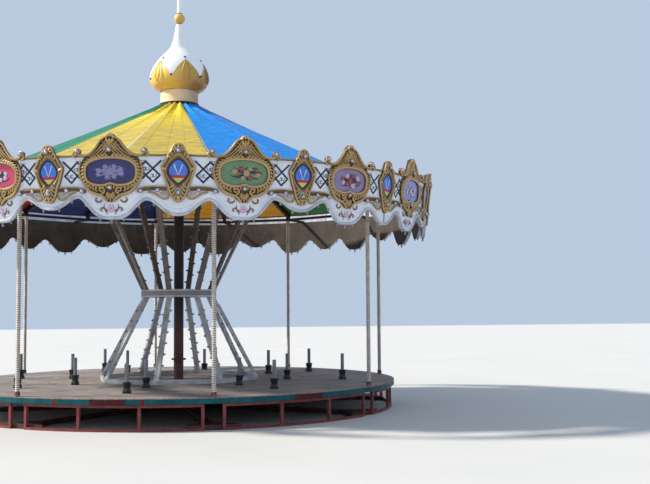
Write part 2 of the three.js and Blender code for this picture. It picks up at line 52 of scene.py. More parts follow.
# Layout round the axis, as in the CAD
BAYS = 8
BAY = 360 / BAYS
PITCH = BAY / 2
POLE_TURN = 7.5
BAY_TURN = POLE_TURN - BAY / 2
BOARD_TURN = -0.4

# Deck, rim, poles and mast
DECK_TOP = 0.395
SOCKET_SHOULDER = DECK_TOP + 0.14
RIM_RADIUS = 3.24
RIM_BARE_HALF = 3.9
RIM_BLOCK_HALF = 0.4
RIM_BLOCKS = (-26.95, -7.45, 153.05, 172.55)
WORN_EDGE_Z = DECK_TOP - 0.009
# Height above which painted shade darkens the mast
MAST_SHADE_Z = 0.95
POLE_CIRCLE = 3.2
POLE_TOP_Z = 3.0197
STRAND_LEAD = 0.027
STRAND_STEP = 0.0054
POLE_SIDES = 16

# Boards
BOARD_FOOT_Z = 2.476
BOARD_FOOT_RADIUS = 3.7
BOARD_LEAN = 0.115
BOARD_MIDDLE_RADIUS = 3.76
BOARD_THICKNESS = 0.03
BOARD_TOP_Z = 3.205
BOARD_COLUMNS = 145
LOBE_Z = BOARD_FOOT_Z
JOINT_LOBE_Z = 2.512
MIDDLE_LOBE_Z = 2.593
JOINT_ARCH_Z = 2.69
MIDDLE_ARCH_Z = 2.722
ARCH_ANGLE = 5.3
JOINT_LINE_HALF = 0.006
# Heights of a pale strip on the boards' inner face: white paint there, and painted daylight glints seen under
# the hem
PALE_STRIP = (3.17, 3.035)
MEDALLION_Z = 3.02
RED_BAND = (MEDALLION_Z - 0.078, MEDALLION_Z - 0.046)
LATTICE_X = 0.276
LATTICE_Z = 3.052
LATTICE_HALF = 0.078

# Degrees by which the boards in the photograph hang beside their even places, from medallion to medallion
HANG_AT = [BOARD_TURN + place * PITCH / 2 for place in range(-4, 7)]
HANG_BY = (0.1, 0.3, -0.35, -0.25, 0.25, 0.65, 0.7, 0.1, 0.3, -0.75, 0)

# Outlines measured from a medallion's centre, from the top round the right side to the bottom
WIDE_OUTLINE = [
    (0, 0.437), (0.05, 0.422), (0.0735, 0.374), (0.124, 0.307), (0.179, 0.25), (0.225, 0.205),
    (0.285, 0.175), (0.325, 0.125), (0.35, 0.05), (0.354, 0), (0.345, -0.06), (0.31, -0.134),
    (0.2435, -0.211), (0.133, -0.268), (0.07, -0.32), (0.03, -0.345), (0, -0.35),
]
NARROW_OUTLINE = [
    (0, 0.324), (0.045, 0.31), (0.068, 0.265), (0.088, 0.216), (0.125, 0.165), (0.15, 0.112),
    (0.192, 0.052), (0.175, -0.02), (0.158, -0.075), (0.13, -0.15), (0.112, -0.19),
    (0.098, -0.24), (0.068, -0.305), (0.035, -0.345), (0, -0.355),
]
NARROW_PICTURE = [
    (0, 0.15), (0.048, 0.125), (0.095, 0.072), (0.119, 0.025), (0.119, -0.02), (0.1, -0.065),
    (0.055, -0.115), (0.02, -0.148), (0, -0.155),
]

# Canopy
CANOPY_RIBS = 16
HEM_RADIUS = 3.3
HEM_Z = 3.136
CANOPY_SLOPE = 0.464
BEND_RADIUS = 0.5
TOP_RADIUS = 0.286
CANOPY_TOP_Z = 4.55
SEAM_SLIP = 0.6
SEAM_HALF = 0.004
SEAM_SPREAD = 0.05
STRIP_HALF = 0.036
STRIP_SPREAD = 0.0112
STRIP_STITCHES = (4.2, 16.9)

# Finial
COLLAR_RING_TOP_Z = 4.578
BULB_FOOT = 4.7643
BULB_PROFILE = [
    (0.292, 0), (0.35, 0.028), (0.41, 0.088), (0.441, 0.19), (0.435, 0.262), (0.396, 0.374), (0.32, 0.488),
    (0.215, 0.603), (0.152, 0.668), (0.112, 0.76), (0.067, 0.95), (0.051, 1.05), (0.048, 1.1), (0.046, 1.18),
    (0.042, 1.226), (0.036, 1.41), (0.025, 1.7), (0.008, 2.026), (1e-5, 2.03),
]
BALL_Z = BULB_FOOT + 1.15
BALL_RADIUS = 0.083
SPIRE_TOP_Z = 6.794
MANTLE_POINTS = 6
MANTLE_TURN = -16
MANTLE_TIP_Z = 4.89
MANTLE_RISE = 0.318
MANTLE_BOW = 0.62

# Struts: foot radius and height, head radius and height, lamp holders on each side, paint
STRUT_LINES = (
    (1.2, 0.3953, 0.53, 1.625, 8, "strut_paint"),
    (0.53, 1.737, 1.56, 3.79, 11, "strut_paint_grime_and_shade"),
)
STRUT_HALF_WIDTH = 0.038
STRUT_HALF_DEPTH = 0.02
WAIST_FLANGES = (1.636, 1.726)
WAIST_RADIUS = 0.56

# Camera recovered from the photograph, and light
PICTURE_WIDTH = 650
FOCAL_PIXELS = 977.8
CAMERA_PLACE = (0, -15.0, 1.449)
CAMERA_YAW = 0.1486
CAMERA_PITCH = 0.0672
CAMERA_ROLL = -0.007
SENSOR_WIDTH = 36
SUN_AZIMUTH = -101
SUN_HEIGHT = 38
SUN_STRENGTH = 5.4
SUN_SPREAD = 5
SUN_COLOUR = (1.0, 0.95, 0.86)
SKY_STRENGTH = 0.74
SKY_COLOUR = (0.66, 0.8, 1.0, 1)
FLOOR_REACH = 60

# Colours are sRGB parts from 0 to 255. Worn paint: colour, grime, roughness, scale and amount of the grime,
# then metallic, bump, its scale and coat where they differ
WORN = {
    "board_white": ((230, 235, 243), (180, 186, 200), 0.35, 3.5, 0.55, 0, 0.0008, 30, 0.2),
    # A greyer copy of the board white: painted shade on the rolled lower edge; also the pale strip inside the
    # boards' top
    "board_edge": ((200, 206, 218), (124, 120, 126), 0.4, 9, 0.75),
    "lattice_navy": ((24, 32, 56), (44, 52, 76), 0.5, 20, 0.5),
    "swirl_grey": ((104, 114, 138), (76, 86, 110), 0.5, 20, 0.4),
    "groove_line": ((92, 96, 112), (56, 60, 76), 0.6, 20, 0.5),
    "lamp_cup": ((150, 142, 152), (84, 74, 86), 0.3, 40, 0.7, 0.5),
    "lamp_glass": ((206, 200, 210), (146, 136, 156), 0.12, 60, 0.5, 0, 0.0002, 60, 0.4),
    "edge_lamp": ((152, 146, 158), (98, 90, 104), 0.25, 60, 0.5),
    "picture_blue": ((60, 120, 214), (38, 84, 178), 0.3, 12, 0.7, 0, 0.0003, 60, 0.3),
    "picture_red": ((188, 40, 66), (140, 26, 50), 0.3, 12, 0.6),
    "picture_meadow": ((206, 204, 96), (128, 170, 84), 0.3, 12, 0.8),
    "picture_beam": ((206, 220, 236), (150, 184, 226), 0.3, 12, 0.6),
    "relief_grey": ((172, 172, 160), (112, 108, 92), 0.45, 20, 0.7, 0.1),
    "petal_rose": ((214, 178, 208), (182, 136, 178), 0.4, 30, 0.6),
    "petal_pale": ((206, 214, 232), (160, 170, 206), 0.4, 30, 0.6),
    "petal_mist": ((130, 138, 184), (94, 100, 154), 0.4, 30, 0.6),
    "petal_sand": ((190, 150, 110), (150, 112, 84), 0.4, 30, 0.6),
    "petal_brick": ((150, 62, 60), (120, 44, 50), 0.4, 30, 0.6),
    "leaf_dark": ((40, 40, 66), (26, 26, 44), 0.4, 30, 0.6),
    "strut_paint": ((206, 209, 212), (124, 122, 122), 0.42, 7, 0.75, 0.1, 0.0008, 50),
    # The upper struts' paint: darker, for grime and painted shade
    "strut_paint_grime_and_shade": ((124, 118, 116), (66, 60, 58), 0.5, 7, 0.8, 0.1, 0.0008, 50),
    "waist_ring_shade": ((140, 140, 146), (104, 104, 110), 0.5, 7, 0.6, 0.1),
    "pole_foot": ((122, 70, 58), (70, 44, 40), 0.6, 20, 0.7, 0.2),
    "collar_rim": ((26, 26, 32), (46, 40, 40), 0.5, 20, 0.6),
    "mantle_white": ((252, 251, 248), (222, 226, 234), 0.25, 4, 0.5, 0, 0.0004, 30, 0.4),
    "canopy_hem": ((112, 44, 44), (74, 34, 36), 0.7, 9, 0.6),
    "canopy_seam": ((204, 190, 142), (176, 162, 116), 0.6, 12, 0.6),
}
# Old paint on steel: colour, grime and chips
FLECKED = {
    "red_oxide_steel": ((138, 62, 58), (86, 42, 42), (70, 34, 26)),
    "dark_oxide_steel": ((84, 46, 42), (48, 30, 30), (110, 62, 46)),
    # A near-black copy of the oxide steel for the roof's members: painted shade
    "roof_steel_painted_shade": ((46, 28, 28), (26, 18, 18), (78, 46, 38)),
}
# Grounds of the painted ovals: colour, grime and its amount; two kinds of flower and the leaves on them
PICTURES = {
    "crimson": ((204, 72, 104), (168, 48, 84), 0.7, "petal_pale", "petal_rose", "leaf_dark"),
    "violet": ((38, 36, 104), (24, 24, 70), 0.8, "petal_mist", "petal_mist", "ground_lilac"),
    "green": ((98, 140, 98), (72, 112, 78), 0.7, "petal_brick", "petal_sand", "leaf_dark"),
    "lilac": ((140, 124, 164), (110, 96, 140), 0.7, "petal_rose", "petal_brick", "leaf_dark"),
    "lavender": ((132, 142, 206), (104, 116, 184), 0.7, "petal_pale", "petal_rose", "ground_violet"),
}
GROUNDS = list(PICTURES)
# Cloth from above, clean and dusty; from below, plain and pale, with its glow; the stitches and their grime
# The colours from below are painted shade, and amber for the yellow as painted light through the cloth; the
# glow is painted
CLOTHS = {
    "green": ((4, 114, 84), (8, 118, 90), (34, 96, 48), (56, 124, 66), 0.15, (24, 112, 84), (20, 92, 70)),
    "yellow": (
        (238, 208, 42), (158, 140, 88), (186, 120, 14), (190, 134, 28), 0.26, (176, 152, 60), (140, 120, 60),
    ),
    "blue": ((8, 140, 226), (20, 134, 216), (14, 24, 74), (24, 44, 108), 0.08, (16, 88, 176), (14, 70, 150)),
    "red": ((200, 44, 46), (204, 92, 84), (130, 28, 26), (160, 52, 40), 0.2, (140, 30, 34), (110, 26, 30)),
}
CANOPY_COLOURS = list(CLOTHS)


# Materials; each is filed under its name once it is finished

LOOKS = {}
# Scale of a noise that isn't stretched
EVEN = (1, 1, 1)


def shade(value):
    """A colour of three sRGB parts in linear light; a socket stays as it is."""
    if not isinstance(value, tuple):
        return value
    parts = [part / 255 for part in value]
    return (*(part / 12.92 if part <= 0.04045 else ((part + 0.055) / 1.055) ** 2.4 for part in parts), 1)


class Paint:
    """A node material under construction: a principled shader and the nodes that feed it."""

    def __init__(self, name, metallic=0.0, coat=0.0, specular=0.5):
        self.name = name
        self.material = bpy.data.materials.new(name)
        self.material.use_nodes = True
        self.shader = self.material.node_tree.nodes["Principled BSDF"]
        self.feed(self.shader, {"Metallic": metallic, "Coat Weight": coat, "Specular IOR Level": specular})
        self.place = self.node("ShaderNodeTexCoord", {}, "Object")

    def feed(self, node, inputs):
        for key, value in inputs.items():
            if isinstance(value, bpy.types.NodeSocket):
                self.material.node_tree.links.new(value, node.inputs[key])
            else:
                node.inputs[key].default_value = value

    def node(self, kind, inputs, output, **values):
        made = self.material.node_tree.nodes.new(kind)
        for key, value in values.items():
            setattr(made, key, value)
        self.feed(made, inputs)
        return made.outputs[output]

    def noise(self, scale, detail=4, roughness=0.55, stretch=EVEN):
        vector = self.node("ShaderNodeMapping", {"Scale": stretch, "Vector": self.place}, "Vector")
        inputs = {"Vector": vector, "Scale": scale, "Detail": detail, "Roughness": roughness}
        return self.node("ShaderNodeTexNoise", inputs, "Fac")

    def remap(self, value, low, high, to_low=0.0, to_high=1.0):
        inputs = {"Value": value, "From Min": low, "From Max": high, "To Min": to_low, "To Max": to_high}
        return self.node("ShaderNodeMapRange", inputs, "Result")

    def math(self, operation, *values):
        return self.node("ShaderNodeMath", dict(enumerate(values)), "Value", operation=operation)

    def mix(self, factor, first, second):
        inputs = {"Factor": factor, 6: shade(first), 7: shade(second)}
        return self.node("ShaderNodeMix", inputs, 2, data_type="RGBA")

    def axis(self, which):
        return self.node("ShaderNodeSeparateXYZ", {"Vector": self.place}, which)

    def radius(self):
        squares = (self.math("MULTIPLY", along, along) for along in (self.axis("X"), self.axis("Y")))
        return self.math("SQRT", self.math("ADD", *squares))

    def azimuth(self):
        around = self.math("ARCTAN2", self.axis("X"), self.math("MULTIPLY", self.axis("Y"), -1.0))
        return self.math("MULTIPLY", around, 360 / TURN)

    # The 'proud' attribute: painted light on the gold, and on the poles the groove depth for their painted
    # shade
    def proud(self):
        return self.node("ShaderNodeAttribute", {}, "Fac", attribute_name="proud")

    def patches(self, under, over, scale, detail=5, rough=0.55, low=0.35, high=0.7, most=1.0, stretch=EVEN):
        """One colour with another over it in patches of noise."""
        share = self.remap(self.noise(scale, detail, rough, stretch), low, high, 0, most)
        return self.mix(share, under, over)

    def uneven(self, scale, low, high):
        """A roughness that wanders between two values."""
        return self.remap(self.noise(scale), 0.3, 0.7, low, high)

    def finish(self, colour, roughness, height=None, distance=0.0, strength=1.0):
        """Feeds the shader, with a bump where a height is given, and files the material."""
        self.feed(self.shader, {"Base Color": colour, "Roughness": roughness})
        if height is not None:
            inputs = {"Height": height, "Distance": distance, "Strength": strength}
            self.feed(self.shader, {"Normal": self.node("ShaderNodeBump", inputs, "Normal")})
        LOOKS[self.name] = self.material


def worn(name, base, dark, rough, scale, amount, metallic=0.0, bump=0.0006, fine=60.0, coat=0.0):
    """Paint that varies softly, with darker grime in patches and a fine unevenness."""
    paint = Paint(name, metallic, coat)
    body = paint.patches(base, dark, scale, 6, 0.65, 0.4, 0.75, amount)
    paint.finish(body, paint.uneven(scale * 3, rough - 0.08, rough + 0.12), paint.noise(fine, 3), bump)


def flecked(name, base, dark, chip):
    """Old paint on steel: grime in patches and small chips down to rust."""
    paint = Paint(name, 0.1)
    grime = paint.remap(paint.noise(9, 6, 0.7), 0.35, 0.7, 0, 0.75)
    chips = paint.remap(paint.noise(63, 5, 0.7), 0.62, 0.68)
    body = paint.mix(chips, paint.mix(grime, base, dark), chip)
    height = paint.math("SUBTRACT", paint.noise(81), chips)
    paint.finish(body, paint.remap(grime, 0, 0.75, 0.45, 0.85), height, 0.0012)


def gilt():
    """Gold paint: painted shade near black in hollows, brown on the flanks, painted highlight where it stands
    proud.
    """
    paint = Paint("gold_relief", 0.25, 0.1)
    body = paint.patches((124, 92, 47), (76, 53, 27), 14)
    # Painted highlight where the 'proud' attribute is high
    body = paint.mix(paint.remap(paint.proud(), 0.6, 1.0, 0, 0.85), body, (204, 172, 120))
    # Painted shade, near black, where the 'proud' attribute is low
    body = paint.mix(paint.remap(paint.proud(), 0.1, 0.5, 0.97, 0), body, (30, 18, 8))
    paint.finish(body, paint.uneven(30, 0.32, 0.55), paint.noise(90, 4, 0.7), 0.0025, 0.8)


def deck_ply():
    """Worn boards with radial and ring seams; the sockets on them are black below and grey above."""
    paint = Paint("deck_ply")
    z, radius = paint.axis("Z"), paint.radius()
    wood = paint.patches((152, 142, 136), (106, 94, 90), 2.2, 7, 0.7, 0.35, 0.68)
    wood = paint.patches(wood, (176, 166, 160), 11, 6, 0.75, 0.5, 0.72, 0.55)
    wood = paint.patches(wood, (66, 50, 48), 28, 4, 0.7, 0.6, 0.75, 0.5)
    boards = paint.math("MULTIPLY_ADD", paint.azimuth(), 1 / PITCH, -POLE_TURN / PITCH)
    radial = paint.math("MULTIPLY", paint.math("PINGPONG", paint.math("FRACT", boards), 0.5), radius)
    ring = paint.math("PINGPONG", paint.math("ADD", radius, 0.12), 0.5)
    seam = paint.math("MINIMUM", paint.math("MULTIPLY", radial, 0.4), ring)
    wood = paint.mix(paint.remap(seam, 0.002, 0.006, 0.8, 0), wood, (40, 30, 30))
    wood = paint.mix(paint.remap(radius, RIM_RADIUS - 0.06, RIM_RADIUS - 0.03, 0, 0.6), wood, (150, 110, 104))
    shoulder = paint.remap(z, SOCKET_SHOULDER - 0.002, SOCKET_SHOULDER + 0.004)
    iron = paint.mix(shoulder, (18, 30, 30), (122, 126, 132))
    standing = (z, DECK_TOP + 0.002, DECK_TOP + 0.003)
    body = paint.mix(paint.remap(*standing), wood, iron)
    height = paint.math("ADD", paint.noise(40, 5, 0.7), paint.remap(seam, 0.0, 0.008))
    paint.finish(body, paint.remap(*standing, 0.72, 0.4), height, 0.002)


def rim_paint():
    """Teal band, red-brown and bare in the middle of each bay, with a few red blocks and a worn top edge."""
    paint = Paint("rim_paint", specular=0.2)
    azimuth = paint.azimuth()
    offset = paint.math("FLOORED_MODULO", paint.math("SUBTRACT", azimuth, BAY_TURN), BAY)
    away = paint.math("MINIMUM", offset, paint.math("SUBTRACT", BAY, offset))
    teal = paint.patches((4, 92, 100), (2, 60, 68), 5, 6, 0.7)
    bare = paint.patches((86, 30, 34), (46, 18, 22), 16, 6, 0.75, 0.4, 0.65)
    body = paint.mix(paint.remap(away, RIM_BARE_HALF - 0.05, RIM_BARE_HALF + 0.05), bare, teal)
    for block in RIM_BLOCKS:
        near = paint.math("ABSOLUTE", paint.math("SUBTRACT", azimuth, block))
        body = paint.mix(paint.remap(near, RIM_BLOCK_HALF, RIM_BLOCK_HALF + 0.05), (108, 24, 38), body)
    body = paint.patches(body, (84, 48, 44), 50, 5, 0.75, 0.64, 0.7, stretch=(1, 1, 4))
    ply = paint.patches((172, 142, 130), (118, 88, 82), 30, 5, 0.7, 0.4, 0.6)
    body = paint.mix(paint.remap(paint.axis("Z"), WORN_EDGE_Z - 0.001, WORN_EDGE_Z), body, ply)
    paint.finish(body, paint.uneven(18, 0.35, 0.6), paint.noise(45), 0.001)


def cloth(name, base, pale, glow=0.0):
    """Coated cloth: crinkled, painted shade in creases, paler streaks, second colour by the hem, deeper at
    the collar.
    """
    paint = Paint(name, specular=0.25)
    crinkle = paint.noise(5, 7, 0.7, (1, 1, 7))
    creases = paint.noise(2.6, 5, 0.8, (1, 1, 22))
    outward = paint.remap(paint.radius(), 0.6, 1.7, 0.08, 1)
    hem_share = paint.math("MULTIPLY", outward, paint.remap(crinkle, 0.3, 0.7, 0.35, 0.95))
    body = paint.mix(hem_share, base, pale)
    # Painted shade in the creases
    body = paint.mix(paint.remap(creases, 0.55, 0.63, 0, 0.75), body, tuple(0.62 * part for part in base))
    # Paler streaks
    streak_colour = tuple(part + 0.35 * (255 - part) for part in base)
    body = paint.patches(body, streak_colour, 3.4, 5, 0.7, 0.56, 0.7, 0.45, (1, 1, 9))
    # Below, the cloth glows faintly: painted light for daylight through it
    if glow:
        paint.feed(paint.shader, {"Emission Color": body, "Emission Strength": glow})
    height = paint.math("ADD", crinkle, creases)
    paint.finish(body, paint.remap(crinkle, 0.3, 0.7, 0.5, 0.7), height, 0.022, 0.6)


def fibreglass():
    """The raw inner face of the boards: brown-grey, matted, with upright grain and darker runs."""
    paint = Paint("raw_fibreglass")
    body = paint.patches((76, 62, 51), (39, 32, 27), 4, 6, 0.7)
    body = paint.patches(body, (30, 25, 22), 22, 5, 0.75, 0.5, 0.68, 0.6, (1, 1, 0.1))
    body = paint.patches(body, (104, 90, 72), 40, 4, 0.8, 0.55, 0.75, 0.4)
    paint.finish(body, 0.8, paint.noise(70, 5, 0.8), 0.003)


def twisted_brass():
    """Pale worn strands, with dirt and painted shade dark in the grooves between them."""
    paint = Paint("pole_brass", 0.15)
    grooves = paint.remap(paint.proud(), 0.3, 0.5, 1, 0)
    body = paint.mix(grooves, paint.patches((216, 208, 200), (184, 172, 158), 6), (52, 46, 44))
    paint.finish(body, paint.remap(grooves, 0, 1, 0.34, 0.8), paint.noise(120, 3), 0.0004)


def bulb_gold():
    """Gold paint on the onion: bright, with painted shade that darkens it in patches towards one side."""
    paint = Paint("bulb_gold", 0.0, 0.2)
    body = paint.patches((255, 214, 100), (255, 198, 90), 4)
    # Painted shade on one side, in patches
    side = paint.remap(paint.axis("X"), -0.2, 0.42)
    side_shade = paint.math("MULTIPLY", side, paint.remap(paint.noise(5, 6, 0.7), 0.25, 0.6, 0.55, 1))
    body = paint.mix(paint.remap(side_shade, 0, 1, 0, 0.95), body, (116, 68, 44))
    paint.finish(body, paint.uneven(12, 0.28, 0.5), paint.noise(30, 3), 0.0006)


def collar_cream():
    """Cream paint on the collar, browner towards the same side as the onion's painted shade."""
    paint = Paint("collar_cream", 0.0, 0.3)
    body = paint.patches((255, 232, 186), (250, 208, 156), 4)
    # Painted shade towards one side
    body = paint.mix(paint.remap(paint.axis("X"), -0.02, 0.3, 0, 0.85), body, (140, 104, 88))
    paint.finish(body, paint.uneven(12, 0.28, 0.45), paint.noise(40, 3), 0.0005)


def mast_steel():
    """Dark brown steel, redder below hand height and darkening upwards from there: painted light and painted
    shade.
    """
    paint = Paint("mast_steel", 0.15)
    # Painted shade darkens the mast upwards towards the roof
    height = paint.remap(paint.axis("Z"), MAST_SHADE_Z, MAST_SHADE_Z + 0.5)
    body = paint.mix(height, (106, 58, 52), (34, 21, 21))
    body = paint.patches(body, (32, 22, 24), 7, 6, 0.7, most=0.8)
    body = paint.patches(body, (96, 60, 50), 60, 5, 0.7, 0.62, 0.68)
    paint.finish(body, paint.uneven(20, 0.4, 0.65), paint.noise(80), 0.001)


def make_looks():
    for make in (gilt, deck_ply, rim_paint, fibreglass, twisted_brass, bulb_gold, collar_cream, mast_steel):
        make()
    for name, values in WORN.items():
        worn(name, *values)
    for name, colours in FLECKED.items():
        flecked(name, *colours)
    for name, (base, dark, amount, *_) in PICTURES.items():
        worn("ground_" + name, base, dark, 0.28, 9, amount, 0, 0.0003, 60, 0.3)
    for name, (clean, dusty, below, pale, glow, thread, dull) in CLOTHS.items():
        cloth("canopy_" + name, clean, dusty)
        # The cloth seen from below, darker and glowing: painted shade and painted light
        cloth("underside_shade_and_glow_" + name, below, pale, glow)
        worn("stitch_" + name, thread, dull, 0.6, 12, 0.6)


# Meshes


class Shape:
    """A mesh under construction, made of grids of points, each with its look."""

    def __init__(self):
        self.points = []
        self.proud = []
        self.quads = []
        self.looks = []
        self.names = []
        self.count = 0

    # proud fills the 'proud' attribute: painted light on the gold, and on the poles the groove depth for
    # their painted shade
    def grid(self, points, look, across=False, along=False, proud=0.6):
        """Adds rows of points as quads; across joins the last column to the first, along the last row."""
        points = np.asarray(points, float)
        rows, columns = points.shape[:2]
        index = np.arange(rows * columns).reshape(rows, columns) + self.count
        if across:
            index = np.concatenate([index, index[:, :1]], 1)
        if along:
            index = np.concatenate([index, index[:1]], 0)
        quads = np.stack([index[:-1, :-1], index[:-1, 1:], index[1:, 1:], index[1:, :-1]], -1)
        if look not in self.names:
            self.names.append(look)
        self.points.append(points.reshape(-1, 3))
        self.proud.append(np.broadcast_to(proud, (rows, columns)).reshape(-1))
        self.quads.append(quads.reshape(-1, 4))
        self.looks.append(np.full(quads.size // 4, self.names.index(look)))
        self.count += rows * columns

    def gold(self, points, light_tone=0.95, edge=0.3, along=False):
        """Adds a gilded swept body: painted highlight on its outer side, painted shade where it meets the
        board.
        """
        swell = np.clip(0.5 + 0.8 * np.sin(round_angles(points.shape[1])), 0, 1)
        self.grid(points, "gold_relief", True, along, (edge + (light_tone - edge) * swell)[None, :])

    def mesh(self, name, mapping=None):
        points = np.concatenate(self.points)
        if mapping:
            points = mapping(points)
        made = bpy.data.meshes.new(name)
        made.from_pydata(points.tolist(), [], np.concatenate(self.quads).tolist())
        for look in self.names:
            made.materials.append(LOOKS[look])
        made.polygons.foreach_set("material_index", np.concatenate(self.looks).astype(np.int32))
        # The 'proud' attribute, which the materials turn into painted light and painted shade
        layer = made.attributes.new("proud", "FLOAT", "POINT")
        layer.data.foreach_set("value", np.concatenate(self.proud).astype(np.float32))
        tidy = bmesh.new()
        tidy.from_mesh(made)
        bmesh.ops.dissolve_degenerate(tidy, dist=1e-6, edges=tidy.edges)
        tidy.to_mesh(made)
        tidy.free()
        made.polygons.foreach_set("use_smooth", np.ones(len(made.polygons), bool))
        made.set_sharp_from_angle(angle=math.radians(40))
        return made


def points_of(x, y, z):
    """Points from three coordinates, each spread over the rows and columns of the others."""
    return np.stack(np.broadcast_arrays(x, y, z), -1)


def polar(radius, azimuth, z):
    angle = np.radians(azimuth)
    return points_of(radius * np.sin(angle), -radius * np.cos(angle), z)


def on_board(points):
    """From (x, z, proud) to the row frame, with x = 0 at azimuth 0."""
    x, z, proud = points[..., 0], points[..., 1], points[..., 2]
    face = BOARD_FOOT_RADIUS + BOARD_LEAN * (np.minimum(z, BOARD_TOP_Z) - BOARD_FOOT_Z)
    return polar(face + proud, np.degrees(x / BOARD_MIDDLE_RADIUS), z)


def x_of(azimuth):
    return np.radians(azimuth) * BOARD_MIDDLE_RADIUS


def full_turn(sides):
    return np.linspace(0, TURN, sides, endpoint=False)


def round_angles(sides):
    """Angles round a swept body, from half a side before the board's direction."""
    return math.pi / sides - full_turn(sides)


def tube(path, wide, thick=None, sides=8, closed=False):
    """A swept body along (x, z, proud) points; wide is its half width on the board, thick its half depth."""
    path = np.asarray(path, float)
    wide = np.array(np.broadcast_to(wide, len(path)), float)
    thick = wide if thick is None else np.array(np.broadcast_to(thick, len(path)), float)
    if closed:
        along = np.roll(path, -1, 0) - np.roll(path, 1, 0)
    else:
        along = np.gradient(path, axis=0)
        path = np.concatenate([path[:1], path, path[-1:]])
        along = np.concatenate([along[:1], along, along[-1:]])
        wide, thick = (np.concatenate([[1e-5], half, [1e-5]]) for half in (wide, thick))
    along = along / np.maximum(np.linalg.norm(along, axis=1, keepdims=True), 1e-9)
    side = np.cross(along, (0, 0, 1.0))
    side /= np.maximum(np.linalg.norm(side, axis=1, keepdims=True), 1e-9)
    lift = np.cross(side, along)
    turn = round_angles(sides)
    return (
        path[:, None]
        + side[:, None] * (np.cos(turn)[None, :] * wide[:, None])[..., None]
        + lift[:, None] * (np.sin(turn)[None, :] * thick[:, None])[..., None]
    )


def leaf(start, end, wide, thick, bend=0.0, steps=6, sides=6, fullness=0.6):
    """A teardrop that lies on the board from start to end, curved sideways by bend times its length."""
    start, end = np.asarray(start, float), np.asarray(end, float)
    share = np.linspace(0.02, 0.98, steps)
    line = start + (end - start) * share[:, None]
    sideways = np.array([end[1] - start[1], start[0] - end[0], 0])
    line = line + sideways * (bend * 4 * share * (1 - share))[:, None]
    swell = np.sin(math.pi * share**fullness) ** 0.8
    return tube(line, wide * swell, thick * swell, sides)


def turned_solid(centre, profile, sides):
    """A round body standing out of the board from a profile of (radius, proud)."""
    turn = full_turn(sides)
    profile = np.asarray(profile, float)
    x = centre[0] + profile[:, :1] * np.cos(turn)
    z = centre[1] + profile[:, :1] * np.sin(turn)
    return points_of(x, z, centre[2] + profile[:, 1:])


def lathe(profile, sides):
    """A body of revolution about the axis from (radius, z) points."""
    profile = np.asarray(profile, float)
    around = np.linspace(0, 360, sides, endpoint=False)
    return polar(profile[:, :1], around, profile[:, 1:])


def smoothed(points, count):
    """A smooth line of evenly spread points through the given ones."""
    points = np.asarray(points, float)
    steps = np.concatenate([[0], np.cumsum(np.linalg.norm(np.diff(points, axis=0), axis=1))])
    even = np.linspace(0, steps[-1], count)
    slope = np.gradient(points, steps, axis=0)
    segment = np.clip(np.searchsorted(steps, even, side="right") - 1, 0, len(points) - 2)
    span = (steps[segment + 1] - steps[segment])[:, None]
    t = ((even - steps[segment])[:, None]) / span
    a, b = points[segment], points[segment + 1]
    u, v = slope[segment] * span, slope[segment + 1] * span
    return (
        (2 * t**3 - 3 * t**2 + 1) * a
        + (t**3 - 2 * t**2 + t) * u
        + (3 * t**2 - 2 * t**3) * b
        + (t**3 - t**2) * v
    )


def beside(points, side, proud, x0=0.0):
    """Points given to the right of x0, laid on that side of it."""
    return [(x0 + side * x, z, proud) for x, z in points]


def moulding(shape, path, wide, thick, light_tone, count):
    """A smooth gilded moulding through the given (x, z, proud) points, with a painted highlight along its
    ridge.
    """
    wide = np.interp(np.linspace(0, 1, count), np.linspace(0, 1, np.size(wide)), np.atleast_1d(wide))
    shape.gold(tube(smoothed(path, count), wide, thick), light_tone)


def add_lamp(shape, x, z, proud, size):
    """A round lamp in its cup."""
    cup = [(1.05, 0), (1.08, 0.45), (0.9, 0.55), (0.72, 0.3)]
    bulb = [(0.74, 0.25), (0.7, 0.6), (0.45, 0.95), (1e-5 / size, 1.08)]
    for profile, sides, look in ((cup, 14, "lamp_cup"), (bulb, 12, "lamp_glass")):
        shape.grid(turned_solid((x, z, proud), size * np.array(profile), sides), look, True)


def spiral(x, z, proud, size, turns, start, hand=1, steps=18):
    """Points of a volute that winds in from its start angle, in turns."""
    share = np.linspace(0, 1, steps)
    angle = TURN * (start + hand * turns * share)
    reach = size * (1 - 0.82 * share)
    return points_of(x + reach * np.sin(angle), z + reach * np.cos(angle), proud + 0.004 * share)


# Medallions


def outline_radius(points, angles):
    """Reach from the centre at each angle from straight up, for an outline given down its right side."""
    x, z = np.asarray(points, float).T
    folded = np.abs((angles + math.pi) % TURN - math.pi)
    return np.interp(folded, np.arctan2(x, z), np.hypot(x, z))


def wide_picture_radius(angles):
    """Reach of the painted oval, which is dented at its foot."""
    half_width, up, down = 0.277, 0.143, 0.153
    sine, cosine = np.abs(np.sin(angles)), np.cos(angles)
    high = np.where(cosine > 0, up, down)
    power = np.where(cosine > 0, 2.5, 3.2)
    reach = ((sine / half_width) ** power + (np.abs(cosine) / high) ** power) ** (-1 / power)
    from_below = np.abs(angles % TURN - math.pi)
    return reach - 0.026 * np.exp(-((from_below / 0.36) ** 2))


def ring_points(angles, reach, proud=0.0):
    return points_of(reach * np.sin(angles), MEDALLION_Z + reach * np.cos(angles), proud)


def plate(shape, angles, inner, outer, heights):
    """A gilded plate from the inner outline to the outer; heights are (share, proud, painted light)."""
    rows = [ring_points(angles, inner + (outer - inner) * share, height) for share, height, _ in heights]
    # The last of each height is painted light: low for painted shade, high for a painted highlight
    light_tones = np.array([light_tone for _, _, light_tone in heights])
    shape.grid(rows, "gold_relief", True, proud=light_tones[:, None])


